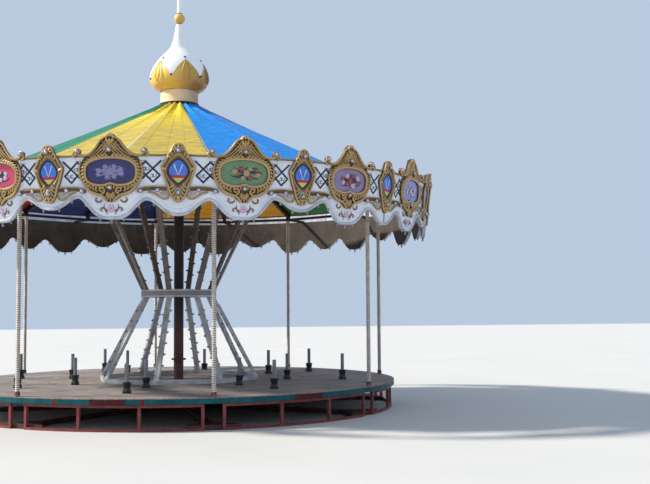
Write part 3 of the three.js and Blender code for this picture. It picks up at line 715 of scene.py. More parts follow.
def rope(shape, angles, reach, count, size, slant, proud, thick):
    """Leaf-shaped beads laid slantwise side by side along an outline, mirrored about the middle."""
    ring = ring_points(angles, reach)
    steps = np.linalg.norm(np.diff(ring, axis=0, append=ring[:1]), axis=1)
    length = np.concatenate([[0], np.cumsum(steps)])
    closed = np.concatenate([ring, ring[:1]])
    for place in (np.arange(count) + 0.5) / count * length[-1]:
        hand = 1 if place < length[-1] / 2 else -1
        here, ahead = (
            np.array([np.interp(spot % length[-1], length, closed[:, part]) for part in (0, 1)])
            for spot in (place, place + hand * size * slant)
        )
        out = here - (0, MEDALLION_Z)
        out *= 0.5 * size / np.hypot(*out)
        bead = leaf((*(here - out), proud), (*(ahead + out), proud), size * 0.3, thick, hand * 0.12)
        shape.gold(bead, 1.0, 0.1)


def fan(shape, centre, inner, outer, first, last, wide, thick, proud, bend=0.0):
    """Flutes that spread from a centre, one to each outer reach, between two turns from straight up."""
    for share, reach in zip(np.linspace(0, 1, len(outer)), outer):
        angle = TURN * (first + (last - first) * share)
        ray = np.array([math.sin(angle), math.cos(angle)])
        start, end = (*(centre + ray * inner), proud), (*(centre + ray * reach), proud * 0.8)
        shape.gold(leaf(start, end, wide, thick, bend * (1 - 2 * share), 7), 0.95, 0.1)


def wide_frame_mesh():
    """The gilded frame of a wide medallion: rope border, leafy crest, scrolled arms, swags and a shell."""
    shape = Shape()
    angles = full_turn(128)
    inner = wide_picture_radius(angles)
    outer = outline_radius(WIDE_OUTLINE, angles)
    # Rows: share of the way out, proud, and painted light, from painted shade (low) to painted highlight
    # (high)
    heights = [
        (-0.02, 0.006, 0.4), (0, 0.02, 0.6), (0.25, 0.018, 0.25), (0.6, 0.014, 0.3), (0.93, 0.012, 0.35),
        (0.98, 0.01, 0.5), (1, 0.0, 0.3),
    ]
    plate(shape, angles, inner, outer, heights)
    shape.gold(tube(ring_points(angles, inner + 0.012, 0.026), 0.015, 0.016, 8, True), 1.0, 0.35, True)
    rope(shape, angles[::2], inner[::2] + 0.05, 42, 0.05, 0.7, 0.024, 0.02)
    for reach, wide, proud in ((0.175, 0.013, 0.018), (0.115, 0.012, 0.028)):
        reaches = [reach * share for share in (0.72, 0.86, 0.96, 1.0, 1.04, 1.0, 0.96, 0.86, 0.72)]
        fan(shape, (0, 3.25), 0.035, reaches, -0.24, 0.24, wide, 0.02, proud, 0.3)
    for number in range(4):
        for side in (1, -1):
            add_drape(shape, side, number)
    add_crest_top(shape)
    reaches = [0.07, 0.105, 0.12, 0.13, 0.12, 0.105, 0.07]
    fan(shape, (0, 2.79), 0.02, reaches, 0.33, 0.67, 0.015, 0.02, 0.026)
    for side in (1, -1):
        add_frame_side(shape, side)
    add_lamp(shape, 0, 3.258, 0.042, 0.025)
    add_lamp(shape, 0, 2.832, 0.038, 0.025)
    return shape.mesh("wide_frame", on_board)


def add_drape(shape, side, number):
    """A flute that runs down beside the crest's arm, one of several side by side."""
    inward = 0.026 * (number + 1)
    line = [(0.06, 3.4), (0.1, 3.345), (0.15, 3.285), (0.205, 3.235), (0.262, 3.205)]
    points = [(side * max(x - inward, 0.006), z - 0.5 * inward, 0.024) for x, z in line[: 5 - number // 2]]
    moulding(shape, points, [0.006, 0.011, 0.006], 0.014, 0.95, 14)


def add_crest_top(shape):
    """The rolled leaf that closes the crest, over three upright leaves."""
    roll = [(-0.045, 3.405, 0.022), (-0.02, 3.43, 0.034), (0.02, 3.43, 0.034), (0.045, 3.405, 0.022)]
    moulding(shape, roll, [0.016, 0.022, 0.016], 0.022, 1.0, 12)
    for x, reach in ((-0.032, 0.085), (0, 0.11), (0.032, 0.085)):
        shape.gold(leaf((x * 0.6, 3.42 - reach, 0.028), (x * 1.3, 3.415, 0.034), 0.016, 0.02, 0, 7), 1.0, 0.1)


def add_frame_side(shape, side):
    """The right or left half of a wide frame's carving."""
    arm = [
        (0.385, 3.232), (0.345, 3.203), (0.295, 3.197), (0.24, 3.215), (0.188, 3.258), (0.14, 3.318),
        (0.1, 3.375), (0.058, 3.405),
    ]
    moulding(shape, beside(arm, side, 0.026), [0.015, 0.019, 0.017, 0.014], 0.02, 0.9, 28)
    knob = [(0.036, -0.03), (0.04, 0.0), (0.037, 0.014), (0.02, 0.022), (1e-5, 0.024)]
    # Painted light on the knob, from painted shade at its foot to a painted highlight on top
    light_tones = np.array([0.2, 0.5, 0.9, 1.0, 1.0])
    shape.grid(turned_solid((side * 0.372, 3.25, 0.016), knob, 14), "gold_relief", True, proud=light_tones[:, None])
    curl = spiral(side * 0.39, 3.222, 0.034, 0.04, 0.7, 0.5, -side, 12)
    shape.gold(tube(curl, np.linspace(0.014, 0.009, 12), 0.014))
    add_lamp(shape, side * 0.372, 3.252, 0.038, 0.025)
    rim = [
        (0.33, 3.13), (0.35, 3.06), (0.352, 3.0), (0.335, 2.94), (0.305, 2.885), (0.262, 2.835),
        (0.235, 2.81),
    ]
    moulding(shape, beside(rim, side, 0.026), [0.01, 0.016, 0.012], 0.015, 0.9, 24)
    swag = [(0.3, 2.86), (0.24, 2.80), (0.17, 2.765), (0.1, 2.745), (0.06, 2.71), (0.035, 2.675)]
    moulding(shape, beside(swag, side, 0.026), [0.01, 0.02, 0.018, 0.012], 0.02, 0.95, 22)
    volute = spiral(side * 0.098, 2.805, 0.03, 0.04, 1.3, 0.5, side)
    shape.gold(tube(volute, np.linspace(0.014, 0.008, 18), 0.016), 1.0, 0.15)
    for number in range(5):
        x, z = 0.15 + 0.033 * number, 2.80 + 0.018 * number
        petal = beside([(x, z - 0.015), (x + 0.03, z + 0.038)], side, 0.026)
        shape.gold(leaf(*petal, 0.013, 0.018), 0.95, 0.1)


def narrow_medallion_mesh():
    """The gilded almond of a narrow medallion, with its painted picture, shell crest and pointed foot."""
    shape = Shape()
    angles = full_turn(120)
    inner = outline_radius(NARROW_PICTURE, angles)
    outer = outline_radius(NARROW_OUTLINE, angles)
    # Rows: share of the way out, proud, and painted light, from painted shade (low) to painted highlight
    # (high)
    heights = [
        (-0.05, 0.006, 0.3), (0, 0.02, 0.5), (0.25, 0.032, 0.85), (0.55, 0.024, 0.5), (0.8, 0.016, 0.2),
        (0.9, 0.022, 0.5), (1, 0.0, 0.2),
    ]
    plate(shape, angles, inner, outer, heights)
    shape.gold(tube(ring_points(angles, outer - 0.014, 0.022), 0.014, 0.016, 8, True), along=True)
    for side in (1, -1):
        add_almond_side(shape, side)
    reaches = [0.05, 0.075, 0.09, 0.095, 0.09, 0.075, 0.05]
    fan(shape, (0, 3.24), 0.03, reaches, -0.27, 0.27, 0.017, 0.018, 0.034)
    for number in range(5):
        angle = TURN * (0.34 + 0.08 * number)
        tip = (0.06 * math.sin(angle), 2.80 + 0.07 * math.cos(angle), 0.03)
        shape.grid(leaf((0, 2.83, 0.03), tip, 0.014, 0.014), "relief_grey", True)
    shape.gold(leaf((0, 2.75, 0.03), (0, 2.67, 0.024), 0.024, 0.018))
    add_lamp(shape, 0, 3.252, 0.046, 0.026)
    add_lamp(shape, 0, 2.775, 0.04, 0.026)
    add_almond_picture(shape, angles, inner)
    return shape.mesh("narrow_medallion", on_board)


def add_almond_side(shape, side):
    """The right or left half of an almond's carving."""
    curl = spiral(side * 0.078, 3.205, 0.032, 0.034, 1.1, 0.5, -side, 14)
    shape.gold(tube(curl, np.linspace(0.013, 0.008, 14), 0.014), 1.0)
    shape.gold(leaf((side * 0.128, 3.03, 0.026), (side * 0.188, 3.072, 0.03), 0.016, 0.016), 1.0)
    for number in range(4):
        z = 2.885 - 0.042 * number
        start = (side * (0.05 - 0.008 * number), z, 0.03)
        end = (side * (0.112 - 0.012 * number), z - 0.055, 0.026)
        shape.gold(leaf(start, end, 0.014, 0.015, side * 0.2), 0.95, 0.1)


def add_almond_picture(shape, angles, inner):
    """Blue sky with two pale beams, a red band and a meadow, in a navy border."""
    bottom, top = (MEDALLION_Z + NARROW_PICTURE[end][1] for end in (-1, 0))
    low, high = RED_BAND
    ring = ring_points(angles, inner)
    right = ring[ring[:, 0] >= -1e-9]
    right = right[np.argsort(right[:, 1])]
    for start, end, look in ((bottom, low, "meadow"), (low, high, "red"), (high, top, "blue")):
        z = np.linspace(start, end, 8)[:, None]
        x = np.interp(z, right[:, 1], right[:, 0]) * np.linspace(-1, 1, 7)
        shape.grid(points_of(x, z, 0.014), "picture_" + look)
    border = tube(ring_points(angles, inner - 0.01, 0.015), 0.012, 0.005, 6, True)
    shape.grid(border, "lattice_navy", True, True)
    for side in (1, -1):
        beam = [(side * 0.004, high + 0.004, 0.0145), (side * 0.046, MEDALLION_Z + 0.078, 0.0145)]
        shape.grid(tube(beam, [0.004, 0.009], 0.0015, 4), "picture_beam", True)


def flower(shape, x, z, size, petals, look, turn):
    for number in range(petals):
        angle = TURN * (number / petals + turn)
        tip = (x + size * math.sin(angle), z + size * math.cos(angle), 0.014)
        shape.grid(leaf((x, z, 0.015), tip, size * 0.36, 0.003, 0, 5, 6, 0.8), look, True)
    middle = [(size * 0.22, 0), (size * 0.18, 0.005), (1e-5, 0.006)]
    shape.grid(turned_solid((x, z, 0.014), middle, 8), "petal_sand", True)


def wide_picture_mesh(ground):
    """A painted oval: a plain ground with a spray of flowers and leaves."""
    chance = np.random.default_rng(SEED + GROUNDS.index(ground))
    first, second, leaves = PICTURES[ground][3:]
    shape = Shape()
    angles = full_turn(96)
    reach = wide_picture_radius(angles) + 0.004
    rows = [ring_points(angles, reach * share, 0.012) for share in (1, 0.85, 0.6, 0.3, 1e-4)]
    shape.grid(rows, "ground_" + ground, True)
    border = tube(ring_points(angles, reach - 0.006, 0.013), 0.005, 0.003, 6, True)
    shape.grid(border, "lattice_navy", True, True)
    middle_x, middle_z = chance.uniform(-0.02, 0.03), MEDALLION_Z - 0.004
    for number in range(14):
        angle = TURN * (number / 14 + chance.uniform(-0.02, 0.02))
        reach_x, reach_z = chance.uniform(0.16, 0.22), chance.uniform(0.075, 0.105)
        tip = (middle_x + reach_x * math.sin(angle), middle_z + reach_z * math.cos(angle), 0.0135)
        bend = chance.uniform(-0.25, 0.25)
        shape.grid(leaf((middle_x, middle_z, 0.0135), tip, 0.013, 0.002, bend), leaves, True)
    for number in range(8):
        angle = TURN * (number / 8 + 0.05)
        x = middle_x + 0.135 * math.sin(angle) + chance.uniform(-0.015, 0.015)
        z = middle_z + 0.055 * math.cos(angle) + chance.uniform(-0.01, 0.01)
        petals = first if number % 2 else second
        flower(shape, x, z, chance.uniform(0.028, 0.04), 6, petals, chance.uniform(0, 1))
    flower(shape, middle_x, middle_z, 0.046, 7, second, 0.1)
    return shape.mesh("wide_picture_" + ground, on_board)


# The boards behind the medallions, from one narrow medallion's middle to the next but one


def from_narrow(azimuth):
    offset = np.mod(azimuth, PITCH)
    return np.minimum(offset, PITCH - offset)


def scallop_z(azimuth):
    """Lower edge of the boards; the small lobe over a joint hangs lower than the one in a board's middle."""
    offset = from_narrow(azimuth)
    in_bay = np.mod(azimuth, BAY)
    joint = np.minimum(in_bay, BAY - in_bay) < PITCH / 2
    small = offset < ARCH_ANGLE
    reach = np.where(small, ARCH_ANGLE, PITCH / 2 - ARCH_ANGLE)
    away = np.where(small, offset, PITCH / 2 - offset)
    lobe = np.where(small, np.where(joint, JOINT_LOBE_Z, MIDDLE_LOBE_Z), LOBE_Z)
    arch = np.where(joint, JOINT_ARCH_Z, MIDDLE_ARCH_Z)
    fullness = np.where(small, 1.2, 1.6)
    return lobe + (arch - lobe) * (1 - np.cos(math.pi * (away / reach) ** fullness)) / 2


def crest_z(azimuth):
    """The top of the shell, which rises behind the crests of the medallions."""
    from_x = x_of(from_narrow(azimuth))
    top = BOARD_TOP_Z
    for outline, away in ((WIDE_OUTLINE, x_of(PITCH / 2) - from_x), (NARROW_OUTLINE, from_x)):
        x, z = np.array([point for point in outline if point[1] > 0.1]).T
        top = np.maximum(top, np.interp(away, x, MEDALLION_Z - 0.012 + z, right=0))
    return top


def shell_face(proud):
    """A face of a board, row by row from the scallops to the top."""
    azimuth = np.linspace(0, BAY, BOARD_COLUMNS)
    low, high = scallop_z(azimuth), crest_z(azimuth)
    share = np.array([0, 0.03, 0.08, 0.2, 0.35, 0.5, 0.65, 0.8, 1.0])[:, None]
    return points_of(x_of(azimuth), low + (high - low) * share, proud)


def board_mesh(open_joint):
    """A board with its ornament; an open joint shows as a line at its right end."""
    shape = Shape()
    front, back = shell_face(0.0), shell_face(-BOARD_THICKNESS)
    shape.grid(front, "board_white")
    shape.grid(back[::-1], "raw_fibreglass")
    shape.grid([front[-1], back[-1]], "raw_fibreglass")
    # The board's bottom face in the greyer white, painted shade
    shape.grid([back[0], front[0]], "board_edge")
    shape.grid([front[:, -1], back[:, -1]], "raw_fibreglass")
    shape.grid([back[:, 0], front[:, 0]], "raw_fibreglass")
    azimuth = np.linspace(0.02, BAY - 0.02, BOARD_COLUMNS)
    x, low = x_of(azimuth), scallop_z(azimuth)
    # The rolled lower lip in the greyer white, painted shade
    shape.grid(tube(points_of(x, low + 0.014, 0.004), 0.016, 0.018, 8), "board_edge", True)
    shape.grid(tube(points_of(x, low + 0.075, 0.0), 0.01, 0.007, 6), "board_white", True)
    if open_joint:
        x = x_of(BAY) - JOINT_LINE_HALF
        seam = [(x, JOINT_LOBE_Z + 0.004, 0.018), (x, JOINT_LOBE_Z + 0.09, 0.009), (x, 2.78, 0.003)]
        shape.grid(tube(seam, JOINT_LINE_HALF, 0.004, 4), "groove_line", True)
    # The pale strip inside the top: white paint, and painted daylight glints under the hem
    x = x_of(np.linspace(0.1, BAY - 0.1, 25))
    shape.grid(points_of(x, np.array(PALE_STRIP)[:, None], -BOARD_THICKNESS - 0.002), "board_edge")
    for repeat in range(2):
        add_bay_trim(shape, x_of(repeat * PITCH), 1)
        add_bay_trim(shape, x_of((repeat + 1) * PITCH), -1)
        add_lobe_trim(shape, x_of((repeat + 0.5) * PITCH))
    add_edge_lamps(shape)
    return shape.mesh("crest_board", on_board)


def add_bay_trim(shape, x0, side):
    """The ornament between the narrow medallion at x0 and the wide one on that side."""

    def at(points, proud=0.002):
        return beside(points, side, proud, x0)

    top = [(0.09, 3.208), (0.2, 3.2), (0.33, 3.2), (0.4, 3.198), (x_of(PITCH / 2) - 0.36, 3.205)]
    moulding(shape, at(top, 0.008), 0.013, 0.018, 0.75, 18)
    shape.grid(tube(at([(0.11, 3.141), (0.4, 3.141)], 0.001), 0.004, 0.0015, 4), "groove_line", True)
    add_lattice(shape, at)
    band = [(0.125, 2.818), (0.2, 2.822), (0.3, 2.822), (0.4, 2.806), (0.445, 2.785)]
    # The band is darkened by painted shade, and the thin moulding on its top gets a painted highlight
    moulding(shape, at(band, 0.006), [0.022, 0.024, 0.022, 0.012], 0.02, 0.42, 18)
    moulding(shape, at([(x, z + 0.022) for x, z in band], 0.012), 0.008, 0.01, 0.95, 18)
    add_lamp(shape, x0 + side * 0.224, 2.805, 0.022, 0.025)
    add_lamp(shape, x0 + side * 0.408, 2.795, 0.022, 0.025)
    scroll = [(0.33, 2.785), (0.27, 2.772), (0.21, 2.735), (0.16, 2.708), (0.115, 2.715), (0.1, 2.745)]
    moulding(shape, at(scroll, 0.006), [0.008, 0.014, 0.014, 0.01], 0.014, 0.9, 18)
    shape.grid(leaf(*at([(0.09, 2.765), (0.21, 2.77)], 0.004), 0.038, 0.014), "relief_grey", True)


def add_lattice(shape, at):
    """Navy diagonals that cross between the medallions, with a swirl in each full diamond."""
    lines = (
        ((-1.2, 1.15), (1.5, -1.5)),
        ((1, 1), (-1, -1)),
        ((-1.05, -0.95), (0.05, -2.05)),
        ((0.95, 1.05), (1.9, 0.1)),
        ((1.95, 0.05), (-0.05, -2.05)),
    )
    for line in lines:
        path = at([(LATTICE_X + across * LATTICE_HALF, LATTICE_Z + up * LATTICE_HALF) for across, up in line])
        shape.grid(tube(path, 0.015, 0.002, 4), "lattice_navy", True)
    for x, z in ((LATTICE_X, LATTICE_Z - LATTICE_HALF), (LATTICE_X + LATTICE_HALF, LATTICE_Z)):
        for hand in (1, -1):
            swirl = spiral(x + 0.012 * hand, z, 0, 0.03, 0.95, 0.1 + 0.25 * hand, hand, 12)
            shape.grid(tube(at(swirl[:, :2]), 0.0055, 0.0012, 4), "swirl_grey", True)


def add_lobe_trim(shape, x0):
    """Gold scrolls and a flower with slender leaves on a large lobe."""
    flower(shape, x0, 2.597, 0.05, 6, "petal_rose", 0.08)
    upper = [(0.105, 2.70), (0.125, 2.675), (0.16, 2.675), (0.18, 2.70), (0.165, 2.72)]
    lower = [(0.045, 2.535), (0.065, 2.575), (0.09, 2.605), (0.12, 2.6), (0.122, 2.578), (0.105, 2.575)]
    for side in (1, -1):
        moulding(shape, beside(upper, side, 0.004, x0), [0.007, 0.011, 0.008], 0.007, 0.7, 14)
        moulding(shape, beside(lower, side, 0.004, x0), [0.006, 0.01, 0.007], 0.006, 0.7, 16)
        spray = beside([(0.035, 2.57), (0.075, 2.655)], side, 0.003, x0)
        shape.grid(leaf(*spray, 0.011, 0.003, side * 0.3), "leaf_dark", True)


def add_edge_lamps(shape):
    """Small lamps that hang under the scalloped edge, and the drop lamp under each large lobe."""
    for repeat in range(2):
        for offset in (1.6, 4.1, 6.6, 9.2, 11.25, 13.3, 15.9, 18.4, 20.9):
            azimuth = repeat * PITCH + offset
            x, z = x_of(azimuth), scallop_z(azimuth) - 0.008
            size = 1.3 if offset == PITCH / 2 else 1.0
            holder = [(x, z + 0.02, -0.006), (x, z - 0.004, -0.006), (x, z - 0.01 * size, -0.006)]
            shape.grid(tube(holder, np.array([0.012, 0.012, 0.01]) * size), "lamp_cup", True)
            drop = [(x, z - step * size, -0.006) for step in (0.008, 0.014, 0.024, 0.03)]
            shape.grid(tube(drop, np.array([0.007, 0.011, 0.01, 0.004]) * size), "edge_lamp", True)


# Pieces


def put(name, data):
    """A new object in the scene."""
    made = bpy.data.objects.new(name, data)
    bpy.context.scene.collection.objects.link(made)
    return made


def add_piece(name, mesh, slot, *replaced, place=(0, 0, 0)):
    """A piece that turns with the rotor, and the CAD nodes that it stands for."""
    piece = put(name, mesh)
    piece.location = place
    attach(piece, "rotor")
    if replaced:
        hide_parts(*replaced)
    return piece


def hung(mesh, azimuth):
    """A copy of a board's mesh turned to its place, with the measured unevenness of the hanging."""
    mesh = mesh.copy()
    points = np.empty(len(mesh.vertices) * 3, np.float32)
    mesh.vertices.foreach_get("co", points)
    x, y, z = points.reshape(-1, 3).T
    around = np.degrees(np.arctan2(x, -y)) + azimuth
    around = (around + 180) % 360 - 180
    points = polar(np.hypot(x, y), around + np.interp(around, HANG_AT, HANG_BY, 0, 0), z)
    mesh.vertices.foreach_set("co", points.astype(np.float32).reshape(-1))
    mesh.update()
    return mesh


def picture_ground(number):
    """The grounds seen in the photograph run from number 14 to number 2; the rest repeat their order."""
    order = (number + 2) % (2 * BAYS)
    return "lilac" if order == 2 * BAYS - 1 else GROUNDS[order % len(GROUNDS)]


def make_boards():
    boards = [board_mesh(True), board_mesh(False)]
    narrow, wide = narrow_medallion_mesh(), wide_frame_mesh()
    pictures = {ground: wide_picture_mesh(ground) for ground in GROUNDS}
    for number in range(BAYS):
        shell = hung(boards[number % 2], BOARD_TURN + number * BAY)
        add_piece(f"crest_shell_{number + 1}", shell, "board_shell", f"crest_board_{number + 1}")
    for number in range(2 * BAYS):
        azimuth = BOARD_TURN + number * PITCH
        add_piece(f"narrow_medallion_{number + 1}", hung(narrow, azimuth), "board_shell")
        azimuth += PITCH / 2
        add_piece(f"wide_frame_{number + 1}", hung(wide, azimuth), "board_shell")
        picture = hung(pictures[picture_ground(number)], azimuth)
        add_piece(f"wide_picture_{number + 1}", picture, "board_shell")


def make_poles():
    """Rope-twist poles, each with a flange on the deck and a collar under the roof."""
    heights = np.arange(DECK_TOP + 0.012, POLE_TOP_Z, STRAND_STEP)[:, None]
    around = full_turn(POLE_SIDES)
    groove = np.abs(np.sin(around / 2 - math.pi * heights / STRAND_LEAD)) ** 0.8
    radius = 0.0185 + 0.0115 * groove
    shape = Shape()
    strand = points_of(radius * np.cos(around), radius * np.sin(around), heights)
    # The groove depth sets the dirt and painted shade in the grooves
    shape.grid(strand, "pole_brass", True, proud=groove)
    low, top = DECK_TOP + 0.001, POLE_TOP_Z
    flange = [(1e-5, low), (0.036, low), (0.036, low + 0.008), (0.033, low + 0.013)]
    cap = [(0.028, low + 0.013), (0.034, low + 0.026), (0.034, low + 0.05), (0.027, low + 0.058)]
    head = [
        (0.025, top - 0.05), (0.034, top - 0.045), (0.036, top - 0.01), (0.045, top - 0.006), (0.045, top),
        (1e-5, top),
    ]
    for profile, look in ((flange, "pole_foot"), (cap, "pole_foot"), (head, "pole_brass")):
        shape.grid(lathe(profile, POLE_SIDES), look, True, proud=0.9)
    mesh = shape.mesh("outer_pole")
    for number in range(BAYS):
        place = polar(POLE_CIRCLE, POLE_TURN + number * BAY, 0)
        add_piece(f"twisted_pole_{number + 1}", mesh, "pole_brass", f"outer_pole_{number + 1}", place=place)


def canopy_z(radius):
    bend = HEM_Z + CANOPY_SLOPE * (HEM_RADIUS - BEND_RADIUS)
    steep = (CANOPY_TOP_Z - bend) / (BEND_RADIUS - TOP_RADIUS)
    flat = HEM_Z + CANOPY_SLOPE * (HEM_RADIUS - radius)
    return np.where(radius > BEND_RADIUS, flat, bend + steep * (BEND_RADIUS - radius))


def canopy_points(azimuth, radius, drop):
    """Points of the stretched cloth: flat between ribs, with sag, small crinkles and folds by the collar."""
    facet = 360 / CANOPY_RIBS
    share = np.mod(azimuth - POLE_TURN, facet) / facet
    middle = math.cos(math.radians(facet / 2))
    real = radius * middle / np.cos(np.radians((share - 0.5) * facet))
    sag = 0.014 * np.sin(math.pi * share) * np.clip(radius / HEM_RADIUS, 0, 1)
    ripple = 0.0022 * np.sin(radius * 61 + 3 * np.sin(azimuth * 0.21)) * np.sin(math.pi * share) ** 0.5
    folds = 0.018 * np.exp(-(((radius - 0.5) / 0.5) ** 2)) * np.sin(np.radians(azimuth * 24 + 40))
    return polar(real, azimuth, canopy_z(radius) - sag + ripple + folds - drop)


def make_canopy():
    """The cloth, double-faced, in eight panels; one seam lies a little off its rib."""
    shape = Shape()
    slope, neck = np.linspace(HEM_RADIUS, BEND_RADIUS, 56), np.linspace(0.47, TOP_RADIUS, 7)
    radii = np.concatenate([slope, neck])[:, None]
    for panel in range(BAYS):
        first = POLE_TURN - BAY + panel * BAY + (SEAM_SLIP if panel == 1 else 0)
        last = POLE_TURN + panel * BAY + (SEAM_SLIP if panel == 0 else 0)
        colour = CANOPY_COLOURS[(panel + 1) % len(CANOPY_COLOURS)]
        azimuth = np.linspace(first, last, 33)
        shape.grid(canopy_points(azimuth, radii, 0.0), "canopy_" + colour, proud=0.5)
        # Underside: darker colours with a faint glow, painted shade and painted light
        shape.grid(canopy_points(azimuth, radii, 0.003)[::-1], "underside_shade_and_glow_" + colour, proud=0.5)
    mesh = shape.mesh("canopy_cloth")
    sheet = add_piece("canopy_cloth", mesh, "canopy_cloth", "canopy")
    trim = canopy_trim()


def add_seam(shape, azimuth, half, spread, look):
    """A seam down the cloth, narrower towards the collar."""
    radii = np.linspace(HEM_RADIUS - 0.01, TOP_RADIUS + 0.01, 60)[:, None]
    across = azimuth + np.degrees(np.minimum(half, spread * radii) / radii) * np.linspace(-1, 1, 5)
    points = canopy_points(across, radii, -0.0022)
    points[:, [0, -1], 2] -= 0.004
    shape.grid(points, look)


def canopy_trim():
    """A broad pale strip down the middle of each yellow panel, thin stitched seams, and the bound hem."""
    shape = Shape()
    for seam in range(CANOPY_RIBS * 2):
        azimuth = POLE_TURN + seam * 180 / CANOPY_RIBS
        panel = CANOPY_COLOURS[(seam // 4 + 2) % len(CANOPY_COLOURS)]
        if seam % 4 == 2 and panel == "yellow":
            add_seam(shape, azimuth, STRIP_HALF, STRIP_SPREAD, "canopy_seam")
            for offset in STRIP_STITCHES:
                add_seam(shape, azimuth + offset, SEAM_HALF, STRIP_SPREAD, "stitch_yellow")
        else:
            add_seam(shape, azimuth, SEAM_HALF, SEAM_SPREAD, "stitch_" + panel)
    azimuth = np.linspace(0, 360, CANOPY_RIBS * 6, endpoint=False)
    section = [(0.0, 0.004), (0.008, 0.002), (0.008, -0.018), (0.002, -0.022), (-0.004, -0.016)]
    rows = [canopy_points(azimuth, HEM_RADIUS + reach, -lift) for reach, lift in section]
    shape.grid(rows, "canopy_hem", True)
    return add_piece("canopy_trim", shape.mesh("canopy_trim"), "canopy_cloth")


def bulb_radius(z):
    profile = np.asarray(BULB_PROFILE)
    fine = smoothed(np.column_stack([profile, np.zeros(len(profile))]), 400)
    return np.interp(z - BULB_FOOT, fine[:, 1], fine[:, 0])


def mantle_edge(azimuth):
    """Height of the white mantle's lower edge, which hangs in points over the gold bulb."""
    period = 360 / MANTLE_POINTS
    offset = np.mod(azimuth - MANTLE_TURN, period)
    away = np.minimum(offset, period - offset) / (period / 2)
    return MANTLE_TIP_Z + MANTLE_RISE * away**MANTLE_BOW


def make_collar():
    """The cream collar on its dark ring."""
    low, rim, top = CANOPY_TOP_Z + 0.0003, COLLAR_RING_TOP_Z, BULB_FOOT - 0.0003
    ring = [
        (0.15, low - 0.019), (0.15, low), (0.3, low), (0.302, low + 0.01), (0.302, rim - 0.006), (0.295, rim),
    ]
    collar = [
        (0.295, rim), (0.288, rim + 0.004), (0.286, rim + 0.024), (0.288, rim + 0.084),
        (0.286, top - 0.019), (0.289, top - 0.009), (0.286, top), (1e-5, top),
    ]
    shape = Shape()
    shape.grid(lathe(ring, 64), "collar_rim", True)
    shape.grid(lathe(collar, 64), "collar_cream", True)
    add_piece("finial_collar_band", shape.mesh("finial_collar_band"), "collar_paint", "finial_collar")


def make_onion():
    """The gold bulb under its white mantle, with the ball and the spire on it."""
    shape = Shape()
    around = np.linspace(0, 360, 96, endpoint=False)
    heights = np.linspace(BULB_FOOT + 0.001, BULB_FOOT + 0.556, 40)[:, None]
    shape.grid(polar(bulb_radius(heights), around, heights), "bulb_gold", True)
    low = mantle_edge(around)
    z = low + (BULB_FOOT + 1.054 - low) * np.linspace(0, 1, 28)[:, None] ** 0.9
    shape.grid(polar(bulb_radius(z) + 0.005, around, z), "mantle_white", True)
    reach, lift = np.array([(0.0, -0.002), (0.006, -0.005), (0.009, 0.0), (0.006, 0.006)]).T
    shape.grid(polar(bulb_radius(low) + reach[:, None], around, low + lift[:, None]), "mantle_white", True)
    swell = np.linspace(0, math.pi, 16)[1:-1, None]
    ball = polar(BALL_RADIUS * np.sin(swell), around[::4], BALL_Z - BALL_RADIUS * np.cos(swell))
    shape.grid(ball, "bulb_gold", True)
    spire = np.linspace(BULB_FOOT + 1.235, SPIRE_TOP_Z, 24)[:, None]
    shape.grid(polar(bulb_radius(spire) + 0.001, around[::4], spire), "mantle_white", True)
    add_bulb_leaves(shape)
    add_piece("finial_onion", shape.mesh("finial_onion"), "bulb_paint", "finial_bulb")


def add_bulb_leaves(shape):
    """Embossed gold leaves between the mantle's points, and the dark studs that hold it."""

    def add(points, azimuth, look):
        x, z, proud = points[..., 0], points[..., 1], points[..., 2]
        radius = bulb_radius(z)
        shape.grid(polar(radius + proud, np.degrees(x / np.maximum(radius, 0.05)) + azimuth, z), look, True)

    tip = MANTLE_TIP_Z + MANTLE_RISE
    curl = [(0.008, 0.03), (0.03, 0.1), (0.062, 0.19), (0.07, 0.27), (0.05, 0.315), (0.028, 0.29)]
    wide = np.interp(np.arange(20), [0, 12, 19], [0.006, 0.02, 0.012])
    stud = [(0.016, -0.004), (0.016, 0.008), (0.01, 0.013), (1e-5, 0.014)]
    for number in range(MANTLE_POINTS):
        azimuth = MANTLE_TURN + (number + 0.5) * 360 / MANTLE_POINTS
        for side in (1, -1):
            line = smoothed([(side * x, tip - drop, 0.0) for x, drop in curl], 20)
            add(tube(line, wide, 0.014), azimuth, "bulb_gold")
        upright = leaf((0, tip - 0.3, 0.0), (0, tip - 0.03, 0.0), 0.034, 0.02, 0, 10, 8, 0.45)
        add(upright, azimuth, "bulb_gold")
        for z, where in ((tip + 0.034, azimuth), (MANTLE_TIP_Z + 0.055, azimuth + 180 / MANTLE_POINTS)):
            add(turned_solid((0, z, 0.006), stud, 10), where, "collar_rim")


